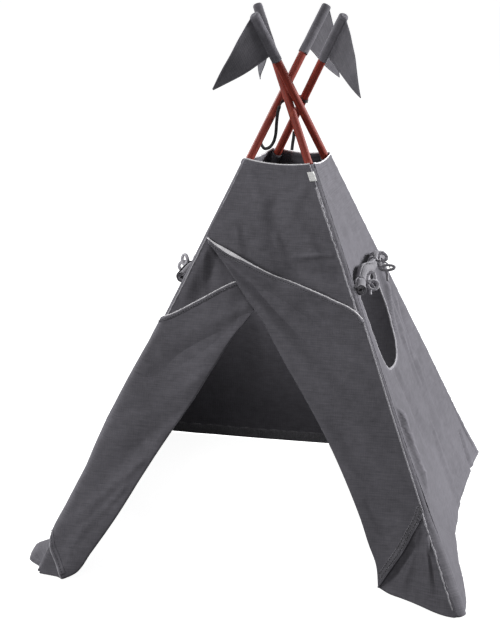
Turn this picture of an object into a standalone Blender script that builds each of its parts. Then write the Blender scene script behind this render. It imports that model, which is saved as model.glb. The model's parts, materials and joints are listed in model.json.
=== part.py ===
"""Kids' teepee tent: four crossing poles, a canvas cover with an open door, and pole flags.

Metres, +Z up. The origin is the middle of the base on the floor, +X is to the right of
somebody who looks at the door, and -Y is the door side.
"""
import math

import bmesh
import bpy
from mathutils import Matrix, Vector

# ---------------------------------------------------------------- driving dimensions
COVER_HALF = 0.645       # from the middle of the base to the outermost hem, along X and Y
CROSSING_HEIGHT = 1.35   # the poles pass each other here
POLE_RADIUS = 0.0125
POLE_TOP = 1.197         # share of the way from foot to crossing at which a pole ends
COLLAR_TOP = 0.862       # the same share for the top edge of the canvas

# Where each pole's axis meets the floor, and where it passes at the crossing's height. The
# base is about 1.2 m square, and the poles pass beside the middle, each against the next.
CROSSING_CENTRE_X = 0.010
POLES = {
    "front_left": ((-0.622, -0.603), (-0.0207, 0.0215)),
    "front_right": ((0.600, -0.600), (0.0050, -0.0080)),
    "back_right": ((0.597, 0.602), (0.0345, -0.0190)),
    "back_left": ((-0.608, 0.598), (0.0513, 0.0167)),
}
# A face is named by its side; its s coordinate runs from the first pole to the second.
FACES = {
    "front": ("front_left", "front_right"),
    "right": ("front_right", "back_right"),
    "back": ("back_left", "back_right"),
    "left": ("front_left", "back_left"),
}

GAP = 0.0003             # clearance between pieces that touch
CLOTH = 0.002            # thickness of one layer of canvas
LAYER = 0.003            # from one layer's middle to the next one's
SLEEVE_BORE = 0.0130
SLEEVE_RADIUS = 0.0146
EDGE_INSET = 0.0165      # from a pole's axis to the edge of the canvas beside it
ROUND_SEGMENTS = 24

FLOOR_GAP = 0.002        # the hems hang this far above the floor
POCKET_HEIGHT = 0.062
POCKET_INNER = 0.050     # how far it reaches along the two walls
POCKET_NOTCH = 0.064     # a hem stops this far from the foot, beside the pocket

FLAG_LENGTH = 0.165      # a flag's sleeve, along the pole
FLAG_REACH = 0.222       # from the pole's axis to the flag's point
FLAG_POINT = 0.118       # the point's distance from the pole's tip, along the pole
FLAG_BORE = 0.0130
FLAG_SLEEVE = 0.0148
FLAG_THICKNESS = 0.0016
FLAG_TURN = {"front_left": 14.0, "front_right": -20.0, "back_right": -9.0, "back_left": -7.0}

RIBBON = 0.010           # width of the tie ribbon

CANVAS_GREY = (0.075, 0.073, 0.085)
POLE_RED = (0.33, 0.060, 0.030)
RIBBON_BLACK = (0.012, 0.012, 0.014)
LABEL_WHITE = (0.75, 0.75, 0.73)


# ---------------------------------------------------------------- the frame's geometry
def pole_point(name, share):
    """A point on a pole's axis: share 0 is its foot on the floor, share 1 is the crossing."""
    foot, crossing = POLES[name]
    return Vector((*foot, 0.0)).lerp(Vector((*crossing, CROSSING_HEIGHT)), share)


def pole_direction(name):
    return (pole_point(name, 1.0) - pole_point(name, 0.0)).normalized()


def face_normal(face):
    """The outward normal of a face's plane, which runs through both feet and the crossing."""
    first, second = FACES[face]
    base = pole_point(second, 0.0) - pole_point(first, 0.0)
    middle = (pole_point(first, 1.0) + pole_point(second, 1.0)) / 2
    normal = base.cross(middle - pole_point(first, 0.0)).normalized()
    foot = pole_point(first, 0.0) + pole_point(second, 0.0)
    return normal if normal.dot(foot) > 0 else -normal


def on_face(face, point, out=0.0):
    """The point moved square to the face's plane until it lies out beyond that plane."""
    normal = face_normal(face)
    height = (point - pole_point(FACES[face][0], 0.0)).dot(normal)
    return point + normal * (out - height)


def at(face, s, share, out=0.0):
    """A point of a face: s from the first pole to the second, share as on the poles."""
    first, second = FACES[face]
    return on_face(face, pole_point(first, share).lerp(pole_point(second, share), s), out)


def beside(face, which, share, inset=EDGE_INSET, out=0.0):
    """A point of a face at a fixed distance from its first (0) or second (1) pole."""
    poles = FACES[face]
    near = on_face(face, pole_point(poles[which], share))
    far = on_face(face, pole_point(poles[1 - which], share))
    along = pole_direction(poles[which])
    across = (far - near) - along * (far - near).dot(along)
    return on_face(face, near + across.normalized() * inset, out)


# ---------------------------------------------------------------- modelling helpers
def clear_scene():
    for item in list(bpy.data.objects):
        bpy.data.objects.remove(item, do_unlink=True)


def make_material(name, colour, roughness):
    material = bpy.data.materials.new(name)
    material.use_nodes = True
    shader = material.node_tree.nodes["Principled BSDF"]
    shader.inputs["Base Color"].default_value = (*colour, 1.0)
    shader.inputs["Roughness"].default_value = roughness
    shader.inputs["Metallic"].default_value = 0.0
    material.diffuse_color = (*colour, 1.0)
    return material


def add_object(name, mesh_data, material_spec, pivot=None):
    """Link a bmesh as an object; with a pivot, its origin goes to that empty."""
    if pivot is not None:
        bmesh.ops.translate(mesh_data, vec=-pivot.location, verts=mesh_data.verts)
    bmesh.ops.recalc_face_normals(mesh_data, faces=mesh_data.faces)
    mesh = bpy.data.meshes.new(name)
    mesh_data.to_mesh(mesh)
    mesh_data.free()
    item = bpy.data.objects.new(name, mesh)
    bpy.context.collection.objects.link(item)
    colour, roughness = material_spec
    mesh.materials.append(make_material(name + "_material", colour, roughness))
    item.parent = pivot
    return item


def make_pivot(name, location, parent=None):
    """An empty on a joint's axis."""
    empty = bpy.data.objects.new(name, None)
    empty.location = location
    bpy.context.collection.objects.link(empty)
    if parent is not None:
        empty.parent = parent
        empty.matrix_parent_inverse = Matrix.Translation(-parent.location)
    return empty


def along_axis(start, end):
    """The transform that takes +Z at the origin to the line from start to end."""
    turn = (end - start).to_track_quat("Z", "Y").to_matrix().to_4x4()
    return Matrix.Translation(start) @ turn


def tube(start, end, outer, inner=0.0, segments=ROUND_SEGMENTS):
    """A round bar, or a round tube where inner is more than 0."""
    mesh_data = bmesh.new()
    length = (end - start).length
    radii = [outer] if inner == 0.0 else [outer, inner]
    rings = []
    for height in (0.0, length):
        for radius in radii:
            ring = bmesh.ops.create_circle(
                mesh_data, segments=segments, radius=radius,
                matrix=Matrix.Translation((0, 0, height)),
            )
            rings.append(ring["verts"])
    count = len(radii)
    for index in range(count):
        bridge(mesh_data, rings[index], rings[index + count])
    if inner == 0.0:
        mesh_data.faces.new(rings[0])
        mesh_data.faces.new(rings[1])
    else:
        bridge(mesh_data, rings[0], rings[1])
        bridge(mesh_data, rings[2], rings[3])
    bmesh.ops.transform(mesh_data, matrix=along_axis(start, end), verts=mesh_data.verts)
    return mesh_data


def bridge(mesh_data, ring_a, ring_b):
    count = len(ring_a)
    for index in range(count):
        after = (index + 1) % count
        mesh_data.faces.new((ring_a[index], ring_a[after], ring_b[after], ring_b[index]))


def plate(outline, normal, thickness=CLOTH):
    """A flat plate whose middle plane holds the outline."""
    mesh_data = bmesh.new()
    low = [mesh_data.verts.new(point - normal * thickness / 2) for point in outline]
    high = [mesh_data.verts.new(point + normal * thickness / 2) for point in outline]
    mesh_data.faces.new(low)
    mesh_data.faces.new(high)
    bridge(mesh_data, low, high)
    return mesh_data


def hull(points):
    mesh_data = bmesh.new()
    for point in points:
        mesh_data.verts.new(point)
    bmesh.ops.convex_hull(mesh_data, input=mesh_data.verts)
    return mesh_data


def cut(item, cutter_mesh):
    """Take a shape out of an object with a Boolean modifier."""
    mesh = bpy.data.meshes.new(item.name + "_cutter")
    bmesh.ops.recalc_face_normals(cutter_mesh, faces=cutter_mesh.faces)
    cutter_mesh.to_mesh(mesh)
    cutter_mesh.free()
    cutter = bpy.data.objects.new(item.name + "_cutter", mesh)
    bpy.context.collection.objects.link(cutter)
    cutter.hide_render = True
    cutter.display_type = "WIRE"
    boolean = item.modifiers.new("opening", "BOOLEAN")
    boolean.operation = "DIFFERENCE"
    boolean.solver = "EXACT"
    boolean.object = cutter


CANVAS = (CANVAS_GREY, 0.9)
WOOD = (POLE_RED, 0.45)
TAPE = (RIBBON_BLACK, 0.7)
LABEL = (LABEL_WHITE, 0.8)


# ---------------------------------------------------------------- poles and what is on them
def pole_side(name):
    """The fold moves the two right-hand poles."""
    return "right" if name.endswith("right") else "left"


def build_pole(name, pivot):
    lift = (FLOOR_GAP + POLE_RADIUS * pole_direction(name).xy.length) / pole_direction(name).z
    start = pole_point(name, 0.0) + pole_direction(name) * (lift + GAP)
    add_object("pole_" + name, tube(start, pole_point(name, POLE_TOP), POLE_RADIUS), WOOD, pivot)


def share_at_height(height):
    return height / CROSSING_HEIGHT


def build_sleeve(name, pivot):
    start = pole_point(name, share_at_height(POCKET_HEIGHT + 0.012))
    end = pole_point(name, COLLAR_TOP)
    mesh_data = tube(start, end, SLEEVE_RADIUS, SLEEVE_BORE)
    add_object("pole_sleeve_" + name, mesh_data, CANVAS, pivot)


def hem_end(face, which, out=0.0):
    """Where a wall's hem stops beside its first (0) or second (1) pole's pocket."""
    low = share_at_height(FLOOR_GAP)
    near, far = (
        on_face(face, pole_point(FACES[face][end], low), out) for end in (which, 1 - which)
    )
    return near + (far - near).normalized() * POCKET_NOTCH


def build_foot_pocket(name, pivot):
    """The closed end of the pole's sleeve, with the spread corner of the cover's hem."""
    foot = pole_point(name, 0.0)
    outer_x, outer_y = (math.copysign(COVER_HALF, value) for value in foot.xy)
    inner_x = foot.x - math.copysign(POCKET_INNER, foot.x)
    inner_y = foot.y - math.copysign(POCKET_INNER, foot.y)
    points = [
        Vector((x, y, 0.0)) for x, y in (
            (outer_x, outer_y), (outer_x, inner_y), (inner_x, outer_y),
            (inner_x, (foot.y + inner_y) / 2), ((foot.x + inner_x) / 2, inner_y),
        )
    ]
    top = pole_point(name, share_at_height(POCKET_HEIGHT))
    ring = along_axis(top, top + pole_direction(name))
    for index in range(ROUND_SEGMENTS):
        angle = math.tau * index / ROUND_SEGMENTS
        rim = Vector((math.cos(angle), math.sin(angle), 0.0)) * SLEEVE_RADIUS
        points.append(ring @ rim)
    item = add_object("foot_pocket_" + name, hull(points), CANVAS, pivot)
    direction = pole_direction(name)
    lift = (FLOOR_GAP + POLE_RADIUS * direction.xy.length) / direction.z
    bore = tube(foot + direction * lift, top + direction * POCKET_HEIGHT, SLEEVE_BORE)
    cut(item, bore)


def flag_axes(name):
    """Where a flag's point hangs: straight below its pole, turned a little round it."""
    direction = pole_direction(name)
    down = Vector((0, 0, -1))
    below = (down - direction * down.dot(direction)).normalized()
    turn = Matrix.Rotation(math.radians(FLAG_TURN[name]), 3, direction)
    return direction, turn @ below


def build_flag(name, parent):
    """A cloth sleeve over the pole's tip and the three-cornered pennant sewn to it."""
    direction, below = flag_axes(name)
    tip = pole_point(name, POLE_TOP)
    pivot = make_pivot("flag_axis_" + name, tip, parent)
    cap = FLAG_BORE - POLE_RADIUS
    mesh_data = tube(tip - direction * FLAG_LENGTH, tip + direction * cap, FLAG_SLEEVE, FLAG_BORE)
    add_object("flag_sleeve_" + name, mesh_data, CANVAS, pivot)
    inset = FLAG_SLEEVE + GAP
    outline = [
        tip - direction * 0.004 + below * inset,
        tip - direction * (FLAG_LENGTH - 0.012) + below * inset,
        tip - direction * FLAG_POINT + below * FLAG_REACH,
    ]
    normal = direction.cross(below)
    add_object("flag_" + name, plate(outline, normal, FLAG_THICKNESS), CANVAS, pivot)


# ---------------------------------------------------------------- side walls
WINDOW_S = (0.22, 0.78)      # a window's sides, as shares of the wall's width
WINDOW_SHARE = (0.440, 0.578)
WINDOW_CORNER = 0.045
BLIND_SHARE = 0.602
BLIND_S = (0.06, 0.93)
BLIND_RADIUS = 0.014
BLIND_OUT = 0.0175           # from the wall's plane to the roll's axis
TIE_S = (0.27, 0.74)
TIE_WIDTH = 0.010
COLLAR_DEPTH = 0.010         # share of the pole that the collar's binding covers
BINDING_WIDTH = 0.008


def window_outline(face, margin, out=0.0):
    """The window: wide at its base, with rounded lower corners, margin inside its edge."""
    (left, right), (low, high) = WINDOW_S, WINDOW_SHARE
    bottom_left, bottom_right = at(face, left, low, out), at(face, right, low, out)
    top_left, top_right = at(face, left, high, out), at(face, right, high, out)
    across = (bottom_right - bottom_left).normalized()
    upward = ((top_left + top_right) - (bottom_left + bottom_right)).normalized()
    bottom_left += across * margin + upward * margin
    bottom_right += -across * margin + upward * margin
    top_left += across * margin - upward * margin
    top_right += -across * margin - upward * margin
    points = [top_left]
    steps = 6
    radius = WINDOW_CORNER - margin
    for corner, sign in ((bottom_left, 1), (bottom_right, -1)):
        edge = ((top_left if sign > 0 else top_right) - corner).normalized()
        arc = []
        for index in range(steps + 1):
            angle = math.pi / 2 * index / steps
            inward = across * sign * (1 - math.sin(angle)) + edge * (1 - math.cos(angle))
            arc.append(corner + inward * radius)
        points += arc[::-1] if sign > 0 else arc
    points.append(top_right)
    return points


def build_side_wall(face, pivot):
    outline = [
        beside(face, 0, COLLAR_TOP - COLLAR_DEPTH),
        beside(face, 0, share_at_height(POCKET_HEIGHT + 0.02)),
        hem_end(face, 0),
        hem_end(face, 1),
        beside(face, 1, share_at_height(POCKET_HEIGHT + 0.02)),
        beside(face, 1, COLLAR_TOP - COLLAR_DEPTH),
    ]
    normal = face_normal(face)
    wall = add_object("side_wall_" + face, plate(outline, normal), CANVAS, pivot)
    opening = plate(window_outline(face, 0.0), normal, thickness=CLOTH * 10)
    cut(wall, opening)
    build_binding(face, pivot)
    build_blind(face, pivot)
    build_collar("collar_side_" + face, face, (0, 1), 0.0, pivot)


def build_binding(face, pivot):
    """The tape round the window's edge, just inside the wall's cut edge."""
    normal = face_normal(face)
    mesh_data = bmesh.new()
    rings = []
    for margin in (GAP, BINDING_WIDTH):
        outline = window_outline(face, margin)
        for out in (-CLOTH, CLOTH):
            rings.append([mesh_data.verts.new(point + normal * out) for point in outline])
    for first, second in ((0, 1), (2, 3), (0, 2), (1, 3)):
        bridge(mesh_data, rings[first], rings[second])
    add_object("window_binding_" + face, mesh_data, CANVAS, pivot)


def build_blind(face, pivot):
    """The rolled-up window blind and the two ribbons that hold the roll."""
    start, end = (at(face, s, BLIND_SHARE, BLIND_OUT) for s in BLIND_S)
    add_object("window_blind_" + face, tube(start, end, BLIND_RADIUS), CANVAS, pivot)
    for label, s in zip(("front", "back"), TIE_S):
        middle = start.lerp(end, (s - BLIND_S[0]) / (BLIND_S[1] - BLIND_S[0]))
        half = (end - start).normalized() * TIE_WIDTH / 2
        ring = tube(middle - half, middle + half, BLIND_RADIUS + 0.0015, BLIND_RADIUS + 2 * GAP)
        add_object(f"blind_tie_{face}_{label}", ring, TAPE, pivot)


def build_collar(name, face, sides, out, pivot):
    """The bound top edge of one wall; sides says where it ends: a pole (0, 1) or the middle."""
    low, high = COLLAR_TOP - COLLAR_DEPTH + GAP / 2, COLLAR_TOP
    starts, stops = [], []
    for share in (low, high):
        starts.append(
            beside(face, 0, share, out=out) if sides[0] == 0 else middle_edge(face, 1, share, out)
        )
        stops.append(
            beside(face, 1, share, out=out) if sides[1] == 1 else middle_edge(face, 0, share, out)
        )
    ends = [starts[0], stops[0], stops[1], starts[1]]
    add_object(name, plate(ends, face_normal(face), CLOTH * 1.5), CANVAS, pivot)


def middle_edge(face, half, share, out=0.0):
    """A point just beside the middle of a face, in its first (0) or second (1) half."""
    centre = at(face, 0.5, share, out)
    across = (at(face, 1.0, share, out) - at(face, 0.0, share, out)).normalized()
    return centre + across * GAP * (1 if half == 1 else -1)


# ---------------------------------------------------------------- front wall and door
# Places on the front face as (s, share).
APEX = (0.437, 0.556)            # the two door layers cross here
OUTER_TOP = (0.060, 0.672)       # the outer layer's fold starts here, beside the left pole
OUTER_FOOT = (0.835, 0.020)      # and ends here, at the floor
INNER_FOOT = (0.075, 0.020)
OUTER_HEM_POLE = 0.157           # where the turned-back layer's hem meets its pole
INNER_HEM_POLE = 0.085
OUTER_EDGE_POLE = 0.550          # where its free edge meets the pole
INNER_EDGE_POLE = 0.520
OUTER_EDGE_MIDDLE = (0.620, 0.597)
INNER_EDGE_TOP = (0.285, 0.592)


def front_points(out, *places):
    return [at("front", s, share, out) for s, share in places]


def build_front_left(pivot):
    """The inner layer: from the left pole to the door's left edge."""
    low = share_at_height(FLOOR_GAP)
    outline = [beside("front", 0, OUTER_TOP[1] - 0.01)]
    outline.append(beside("front", 0, share_at_height(POCKET_HEIGHT + 0.02)))
    outline.append(hem_end("front", 0))
    outline += front_points(0.0, (0.10, low), (APEX[0], APEX[1]), (0.35, 0.62))
    normal = face_normal("front")
    add_object("door_panel_left", plate(outline, normal), CANVAS, pivot)


def build_yoke_left(pivot):
    """The left half of the outer layer above the door."""
    high = COLLAR_TOP - COLLAR_DEPTH
    outline = [
        middle_edge("front", 0, high, LAYER),
        beside("front", 0, high, out=LAYER),
        beside("front", 0, OUTER_TOP[1], out=LAYER),
        *front_points(LAYER, APEX),
        middle_edge("front", 0, APEX[1] - 0.055, LAYER),
    ]
    add_object("yoke_left", plate(outline, face_normal("front")), CANVAS, pivot)
    build_collar("collar_front_left", "front", (0, None), LAYER, pivot)


def build_front_right(pivot):
    """The outer layer right of the middle: collar, right pole, floor and door edge."""
    high = COLLAR_TOP - COLLAR_DEPTH
    outline = [
        middle_edge("front", 1, high, LAYER),
        middle_edge("front", 1, APEX[1] - 0.055, LAYER),
        *front_points(LAYER, OUTER_FOOT),
        hem_end("front", 1, LAYER),
        beside("front", 1, share_at_height(POCKET_HEIGHT + 0.02), out=LAYER),
        beside("front", 1, high, out=LAYER),
    ]
    add_object("door_panel_right", plate(outline, face_normal("front")), CANVAS, pivot)
    build_collar("collar_front_right", "front", (None, 1), LAYER, pivot)


def build_flaps(left_parent, right_parent):
    """The turned-back layer of each door panel, on its own fold line."""
    normal = face_normal("front")
    apex_low = at("front", APEX[0], APEX[1], LAYER * 1.5)
    right_pivot = make_pivot("door_fold_right", apex_low, right_parent)
    outline = front_points(2 * LAYER, OUTER_TOP, APEX, OUTER_FOOT)
    outline.append(beside("front", 1, OUTER_HEM_POLE, out=2 * LAYER))
    outline.append(beside("front", 1, OUTER_EDGE_POLE, out=2 * LAYER))
    outline += front_points(2 * LAYER, OUTER_EDGE_MIDDLE)
    add_object("door_flap_right", plate(outline, normal), CANVAS, right_pivot)

    left_pivot = make_pivot("door_fold_left", at("front", *APEX, LAYER / 2), left_parent)
    outline = front_points(LAYER, (APEX[0] - 0.012, APEX[1] - 0.012), INNER_FOOT)
    outline.append(beside("front", 0, INNER_HEM_POLE, out=LAYER))
    outline.append(beside("front", 0, INNER_EDGE_POLE, out=LAYER))
    outline += front_points(LAYER, INNER_EDGE_TOP)
    add_object("door_flap_left", plate(outline, normal), CANVAS, left_pivot)


# ---------------------------------------------------------------- back wall
def build_back_half(label, which, pivot):
    low, high = share_at_height(FLOOR_GAP), COLLAR_TOP - COLLAR_DEPTH
    outline = [
        beside("back", which, high),
        beside("back", which, share_at_height(POCKET_HEIGHT + 0.02)),
        hem_end("back", which),
        middle_edge("back", which, low),
        middle_edge("back", which, high),
    ]
    add_object("back_wall_" + label, plate(outline, face_normal("back")), CANVAS, pivot)
    ends = (0, None) if which == 0 else (None, 1)
    build_collar("collar_back_" + label, "back", ends, 0.0, pivot)


# ---------------------------------------------------------------- ribbon and label
LASHING_CENTRE = Vector((0.015, 0.002, 1.345))
LASHING_HALF = (0.066, 0.044)
LASHING_HEIGHT = 0.012
LASHING_THICKNESS = 0.002
LONG_TAIL = (
    (-0.016, -0.030, 1.330), (-0.022, -0.022, 1.312), (-0.026, -0.012, 1.292),
    (-0.029, -0.004, 1.270), (-0.031, 0.002, 1.248), (-0.034, 0.004, 1.228),
    (-0.041, 0.004, 1.208), (-0.053, 0.004, 1.194), (-0.066, 0.006, 1.190),
    (-0.076, 0.012, 1.198), (-0.083, 0.018, 1.214),
)
SHORT_TAIL = (
    (0.026, -0.004, 1.250), (0.024, -0.002, 1.230), (0.021, 0.0, 1.210), (0.019, 0.0, 1.190),
)


def build_lashing(pivot):
    """The ribbon that goes round the four poles where they cross."""
    mesh_data = bmesh.new()
    rings = []
    for grow in (0.0, LASHING_THICKNESS):
        for lift in (-LASHING_HEIGHT / 2, LASHING_HEIGHT / 2):
            ring = []
            for index in range(ROUND_SEGMENTS * 2):
                angle = math.tau * index / (ROUND_SEGMENTS * 2)
                offset = Vector((
                    math.cos(angle) * (LASHING_HALF[0] + grow),
                    math.sin(angle) * (LASHING_HALF[1] + grow), lift,
                ))
                ring.append(mesh_data.verts.new(LASHING_CENTRE + offset))
            rings.append(ring)
    for first, second in ((0, 1), (2, 3), (0, 2), (1, 3)):
        bridge(mesh_data, rings[first], rings[second])
    add_object("lashing_ribbon", mesh_data, TAPE, pivot)


def build_tail(name, route):
    """A free end of the ribbon, as a plain tube as thick as the ribbon is wide."""
    curve = bpy.data.curves.new(name, "CURVE")
    curve.dimensions = "3D"
    curve.bevel_depth = RIBBON / 2
    curve.bevel_resolution = 2
    curve.use_fill_caps = True
    spline = curve.splines.new("POLY")
    spline.points.add(len(route) - 1)
    for point, place in zip(spline.points, route):
        point.co = (*place, 1.0)
    curve.materials.append(make_material(name + "_material", *TAPE))
    item = bpy.data.objects.new(name, curve)
    bpy.context.collection.objects.link(item)


def build_label(pivot):
    """The small blank label sewn into the corner seam, just under the collar."""
    out = CLOTH / 2 + 0.0012
    outline = [
        beside("right", 0, 0.846, 0.017, out), beside("right", 0, 0.831, 0.017, out),
        beside("right", 0, 0.831, 0.031, out), beside("right", 0, 0.846, 0.031, out),
    ]
    add_object("side_label", plate(outline, face_normal("right"), 0.001), LABEL, pivot)


# ---------------------------------------------------------------- assembly
def build_tent():
    clear_scene()
    crossing = Vector((CROSSING_CENTRE_X, 0.0, CROSSING_HEIGHT))
    fold = make_pivot("fold_axis", crossing)
    sides = {"left": None, "right": fold}
    for name in POLES:
        pivot = sides[pole_side(name)]
        build_pole(name, pivot)
        build_sleeve(name, pivot)
        build_foot_pocket(name, pivot)
        build_flag(name, pivot)
    for face, pivot in sides.items():
        build_side_wall(face, pivot)

    front_left = make_pivot("front_left_axis", pole_point("front_left", 0.5))
    front_right = make_pivot("front_middle_axis", at("front", 0.5, 0.5), front_left)
    build_front_left(front_left)
    build_yoke_left(front_left)
    build_front_right(front_right)
    build_flaps(front_left, front_right)

    back_left = make_pivot("back_left_axis", pole_point("back_left", 0.5))
    back_right = make_pivot("back_middle_axis", at("back", 0.5, 0.5), back_left)
    build_back_half("left", 0, back_left)
    build_back_half("right", 1, back_right)

    build_lashing(None)
    build_tail("ribbon_tail_long", LONG_TAIL)
    build_tail("ribbon_tail_short", SHORT_TAIL)
    build_label(fold)


build_tent()
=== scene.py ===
"""The looks of the kids' teepee tent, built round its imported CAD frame."""
import json
import math

import bmesh
import bpy
import numpy as np
from mathutils import Matrix, Vector, noise


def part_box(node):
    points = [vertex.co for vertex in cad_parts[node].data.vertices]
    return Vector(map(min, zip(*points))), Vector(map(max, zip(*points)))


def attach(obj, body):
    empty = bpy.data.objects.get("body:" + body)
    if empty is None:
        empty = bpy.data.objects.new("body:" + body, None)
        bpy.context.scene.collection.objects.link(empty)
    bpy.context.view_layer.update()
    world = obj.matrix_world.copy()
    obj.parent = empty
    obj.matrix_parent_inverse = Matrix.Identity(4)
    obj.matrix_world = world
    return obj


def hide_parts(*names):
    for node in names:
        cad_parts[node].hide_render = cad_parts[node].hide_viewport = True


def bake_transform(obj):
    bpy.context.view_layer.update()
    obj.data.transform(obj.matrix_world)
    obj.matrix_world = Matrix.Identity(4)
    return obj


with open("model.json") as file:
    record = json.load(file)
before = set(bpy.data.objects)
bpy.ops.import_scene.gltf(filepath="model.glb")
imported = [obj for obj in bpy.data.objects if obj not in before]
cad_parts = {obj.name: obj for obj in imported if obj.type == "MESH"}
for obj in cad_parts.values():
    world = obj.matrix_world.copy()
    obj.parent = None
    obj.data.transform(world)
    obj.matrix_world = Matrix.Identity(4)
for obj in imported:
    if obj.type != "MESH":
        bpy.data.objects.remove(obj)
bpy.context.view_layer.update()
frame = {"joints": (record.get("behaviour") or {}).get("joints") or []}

SCENE = bpy.context.scene


def link(name, data):
    item = bpy.data.objects.new(name, data)
    SCENE.collection.objects.link(item)
    return item


# ---- camera
def add_camera():
    """The camera stands in front of the door, a little to the right, and looks down at it."""
    azimuth, elevation, roll = (math.radians(angle) for angle in (10.03, 16.94, 0.546))
    back = Vector((math.sin(azimuth) * math.cos(elevation),
                   -math.cos(azimuth) * math.cos(elevation), math.sin(elevation)))
    right = (-back).cross(Vector((0, 0, 1))).normalized()
    up = right.cross(-back)
    right, up = (right * math.cos(roll) + up * math.sin(roll),
                 up * math.cos(roll) - right * math.sin(roll))
    data = bpy.data.cameras.new("camera")
    data.lens, data.sensor_width, data.clip_end = 98.25, 36.0, 300.0
    camera = link("camera", data)
    camera.matrix_world = Matrix.Translation((0.7936, -5.0883, 2.2362)) \
        @ Matrix((right, up, back)).transposed().to_4x4()
    SCENE.camera = camera


add_camera()


# ---- materials
WHITE = (1.0, 1.0, 1.0, 1.0)
THREAD_PITCH = 0.0011


class Nodes:
    """A short way to wire a material's nodes."""

    def __init__(self, name):
        self.material = bpy.data.materials.new(name)
        self.material.use_nodes = True
        self.tree = self.material.node_tree
        self.shader = self.tree.nodes["Principled BSDF"]

    def add(self, kind, inputs=(), **settings):
        node = self.tree.nodes.new("ShaderNode" + kind)
        for key, value in settings.items():
            setattr(node, key, value)
        for socket, value in dict(inputs).items():
            self.put(node.inputs[socket], value)
        return node

    def put(self, socket, value):
        if isinstance(value, bpy.types.NodeSocket):
            self.tree.links.new(value, socket)
        else:
            socket.default_value = value

    def look(self, **values):
        """Sets the shader's inputs. An underscore in a name stands for a space."""
        for name, value in values.items():
            self.put(self.shader.inputs[name.replace("_", " ")], value)
        return self.material

    def maths(self, operation, *values):
        node = self.add("Math", operation=operation)
        for socket, value in zip(node.inputs, values):
            self.put(socket, value)
        return node.outputs[0]

    def noise(self, vector, scale, detail, rough):
        return self.add("TexNoise", {"Vector": vector, "Scale": scale, "Detail": detail,
                                     "Roughness": rough}).outputs["Fac"]

    def streaks(self, uv, across, along, detail, rough):
        """Noise that is drawn out along one way of the UVs."""
        drawn = self.add("Mapping", {"Vector": uv, "Scale": (across, along, 1.0)}).outputs[0]
        return self.noise(drawn, 1.0, detail, rough)

    def ramp(self, fac, low, high, a=0.0, b=1.0):
        return self.add("MapRange", {"Value": fac, "From Min": low, "From Max": high,
                                     "To Min": a, "To Max": b}).outputs[0]

    def mix(self, fac, a, b):
        node = self.add("Mix", data_type="RGBA")
        for socket, value in ((0, fac), (6, a), (7, b)):
            self.put(node.inputs[socket], value)
        return node.outputs[2]

    def bump(self, strength, distance, height, **under):
        return self.add("Bump", {"Strength": strength, "Distance": distance, "Height": height,
                                 **under}).outputs[0]


def canvas_material(name, tone, dark=0.8, edge_wear_and_highlight=0.35, flecks=0.0):
    """Washed cotton canvas. UVs are in metres, so the threads keep their real size."""
    n = Nodes(name)
    uv = n.add("UVMap").outputs[0]
    where = n.add("TexCoord").outputs["Object"]
    warp, weft = (n.add("TexWave", {"Vector": uv, "Scale": 0.05 / THREAD_PITCH, "Distortion": 1.2,
                                    "Detail": 1.0, "Detail Scale": 3.0},
                        bands_direction=way).outputs["Fac"] for way in "XY")
    weave = n.maths("MULTIPLY", warp, weft)
    slub_x, slub_y = (n.streaks(uv, *size, 3.0, 0.65) for size in ((28.0, 420.0), (420.0, 36.0)))
    slubs = n.maths("ADD", n.maths("MULTIPLY", slub_x, 0.6), n.maths("MULTIPLY", slub_y, 0.4))
    streaks = n.streaks(uv, 13.0, 175.0, 2.0, 0.6)
    cloud = n.noise(where, 3.2, 4.0, 0.6)
    mottle = n.noise(where, 38.0, 3.0, 0.6)
    shade = n.ramp(cloud, 0.35, 0.65, -0.12, 0.12)
    for layer, *limits in ((slubs, 0.36, 0.64, -0.19, 0.19), (mottle, 0.3, 0.7, -0.12, 0.12),
                           (streaks, 0.35, 0.7, -0.07, 0.13), (weave, 0.0, 1.0, -0.06, 0.06)):
        shade = n.maths("ADD", shade, n.ramp(layer, *limits))
    if flecks:
        fleck = n.ramp(n.noise(where, 330.0, 2.0, 0.7), 0.54, 0.64, -0.1, flecks)
        shade = n.maths("ADD", shade, fleck)
    # convex ridges and edges, found by pointiness, are lightened: partly wear, partly a painted
    # highlight
    edge = n.ramp(n.add("NewGeometry").outputs["Pointiness"], 0.515, 0.56, 0.0, edge_wear_and_highlight)
    fac = n.add("Clamp", {"Value": n.maths("ADD", n.maths("ADD", shade, 0.5), edge)}).outputs[0]
    deep = (*(c * dark * 0.72 for c in tone), 1.0)
    pale = (*(c * 1.36 for c in tone), 1.0)
    n.look(Base_Color=n.mix(fac, deep, pale), Roughness=n.ramp(slubs, 0.3, 0.7, 0.82, 0.97),
           Specular_IOR_Level=0.18, Sheen_Weight=0.22, Sheen_Roughness=0.45,
           Sheen_Tint=(0.8, 0.8, 0.86, 1.0))
    fine = n.bump(0.55, 0.0004, weave)
    slub = n.bump(0.55, 0.0006, slubs, Normal=fine)
    return n.look(Normal=n.bump(0.35, 0.004, n.noise(where, 26.0, 3.0, 0.55), Normal=slub))


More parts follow.
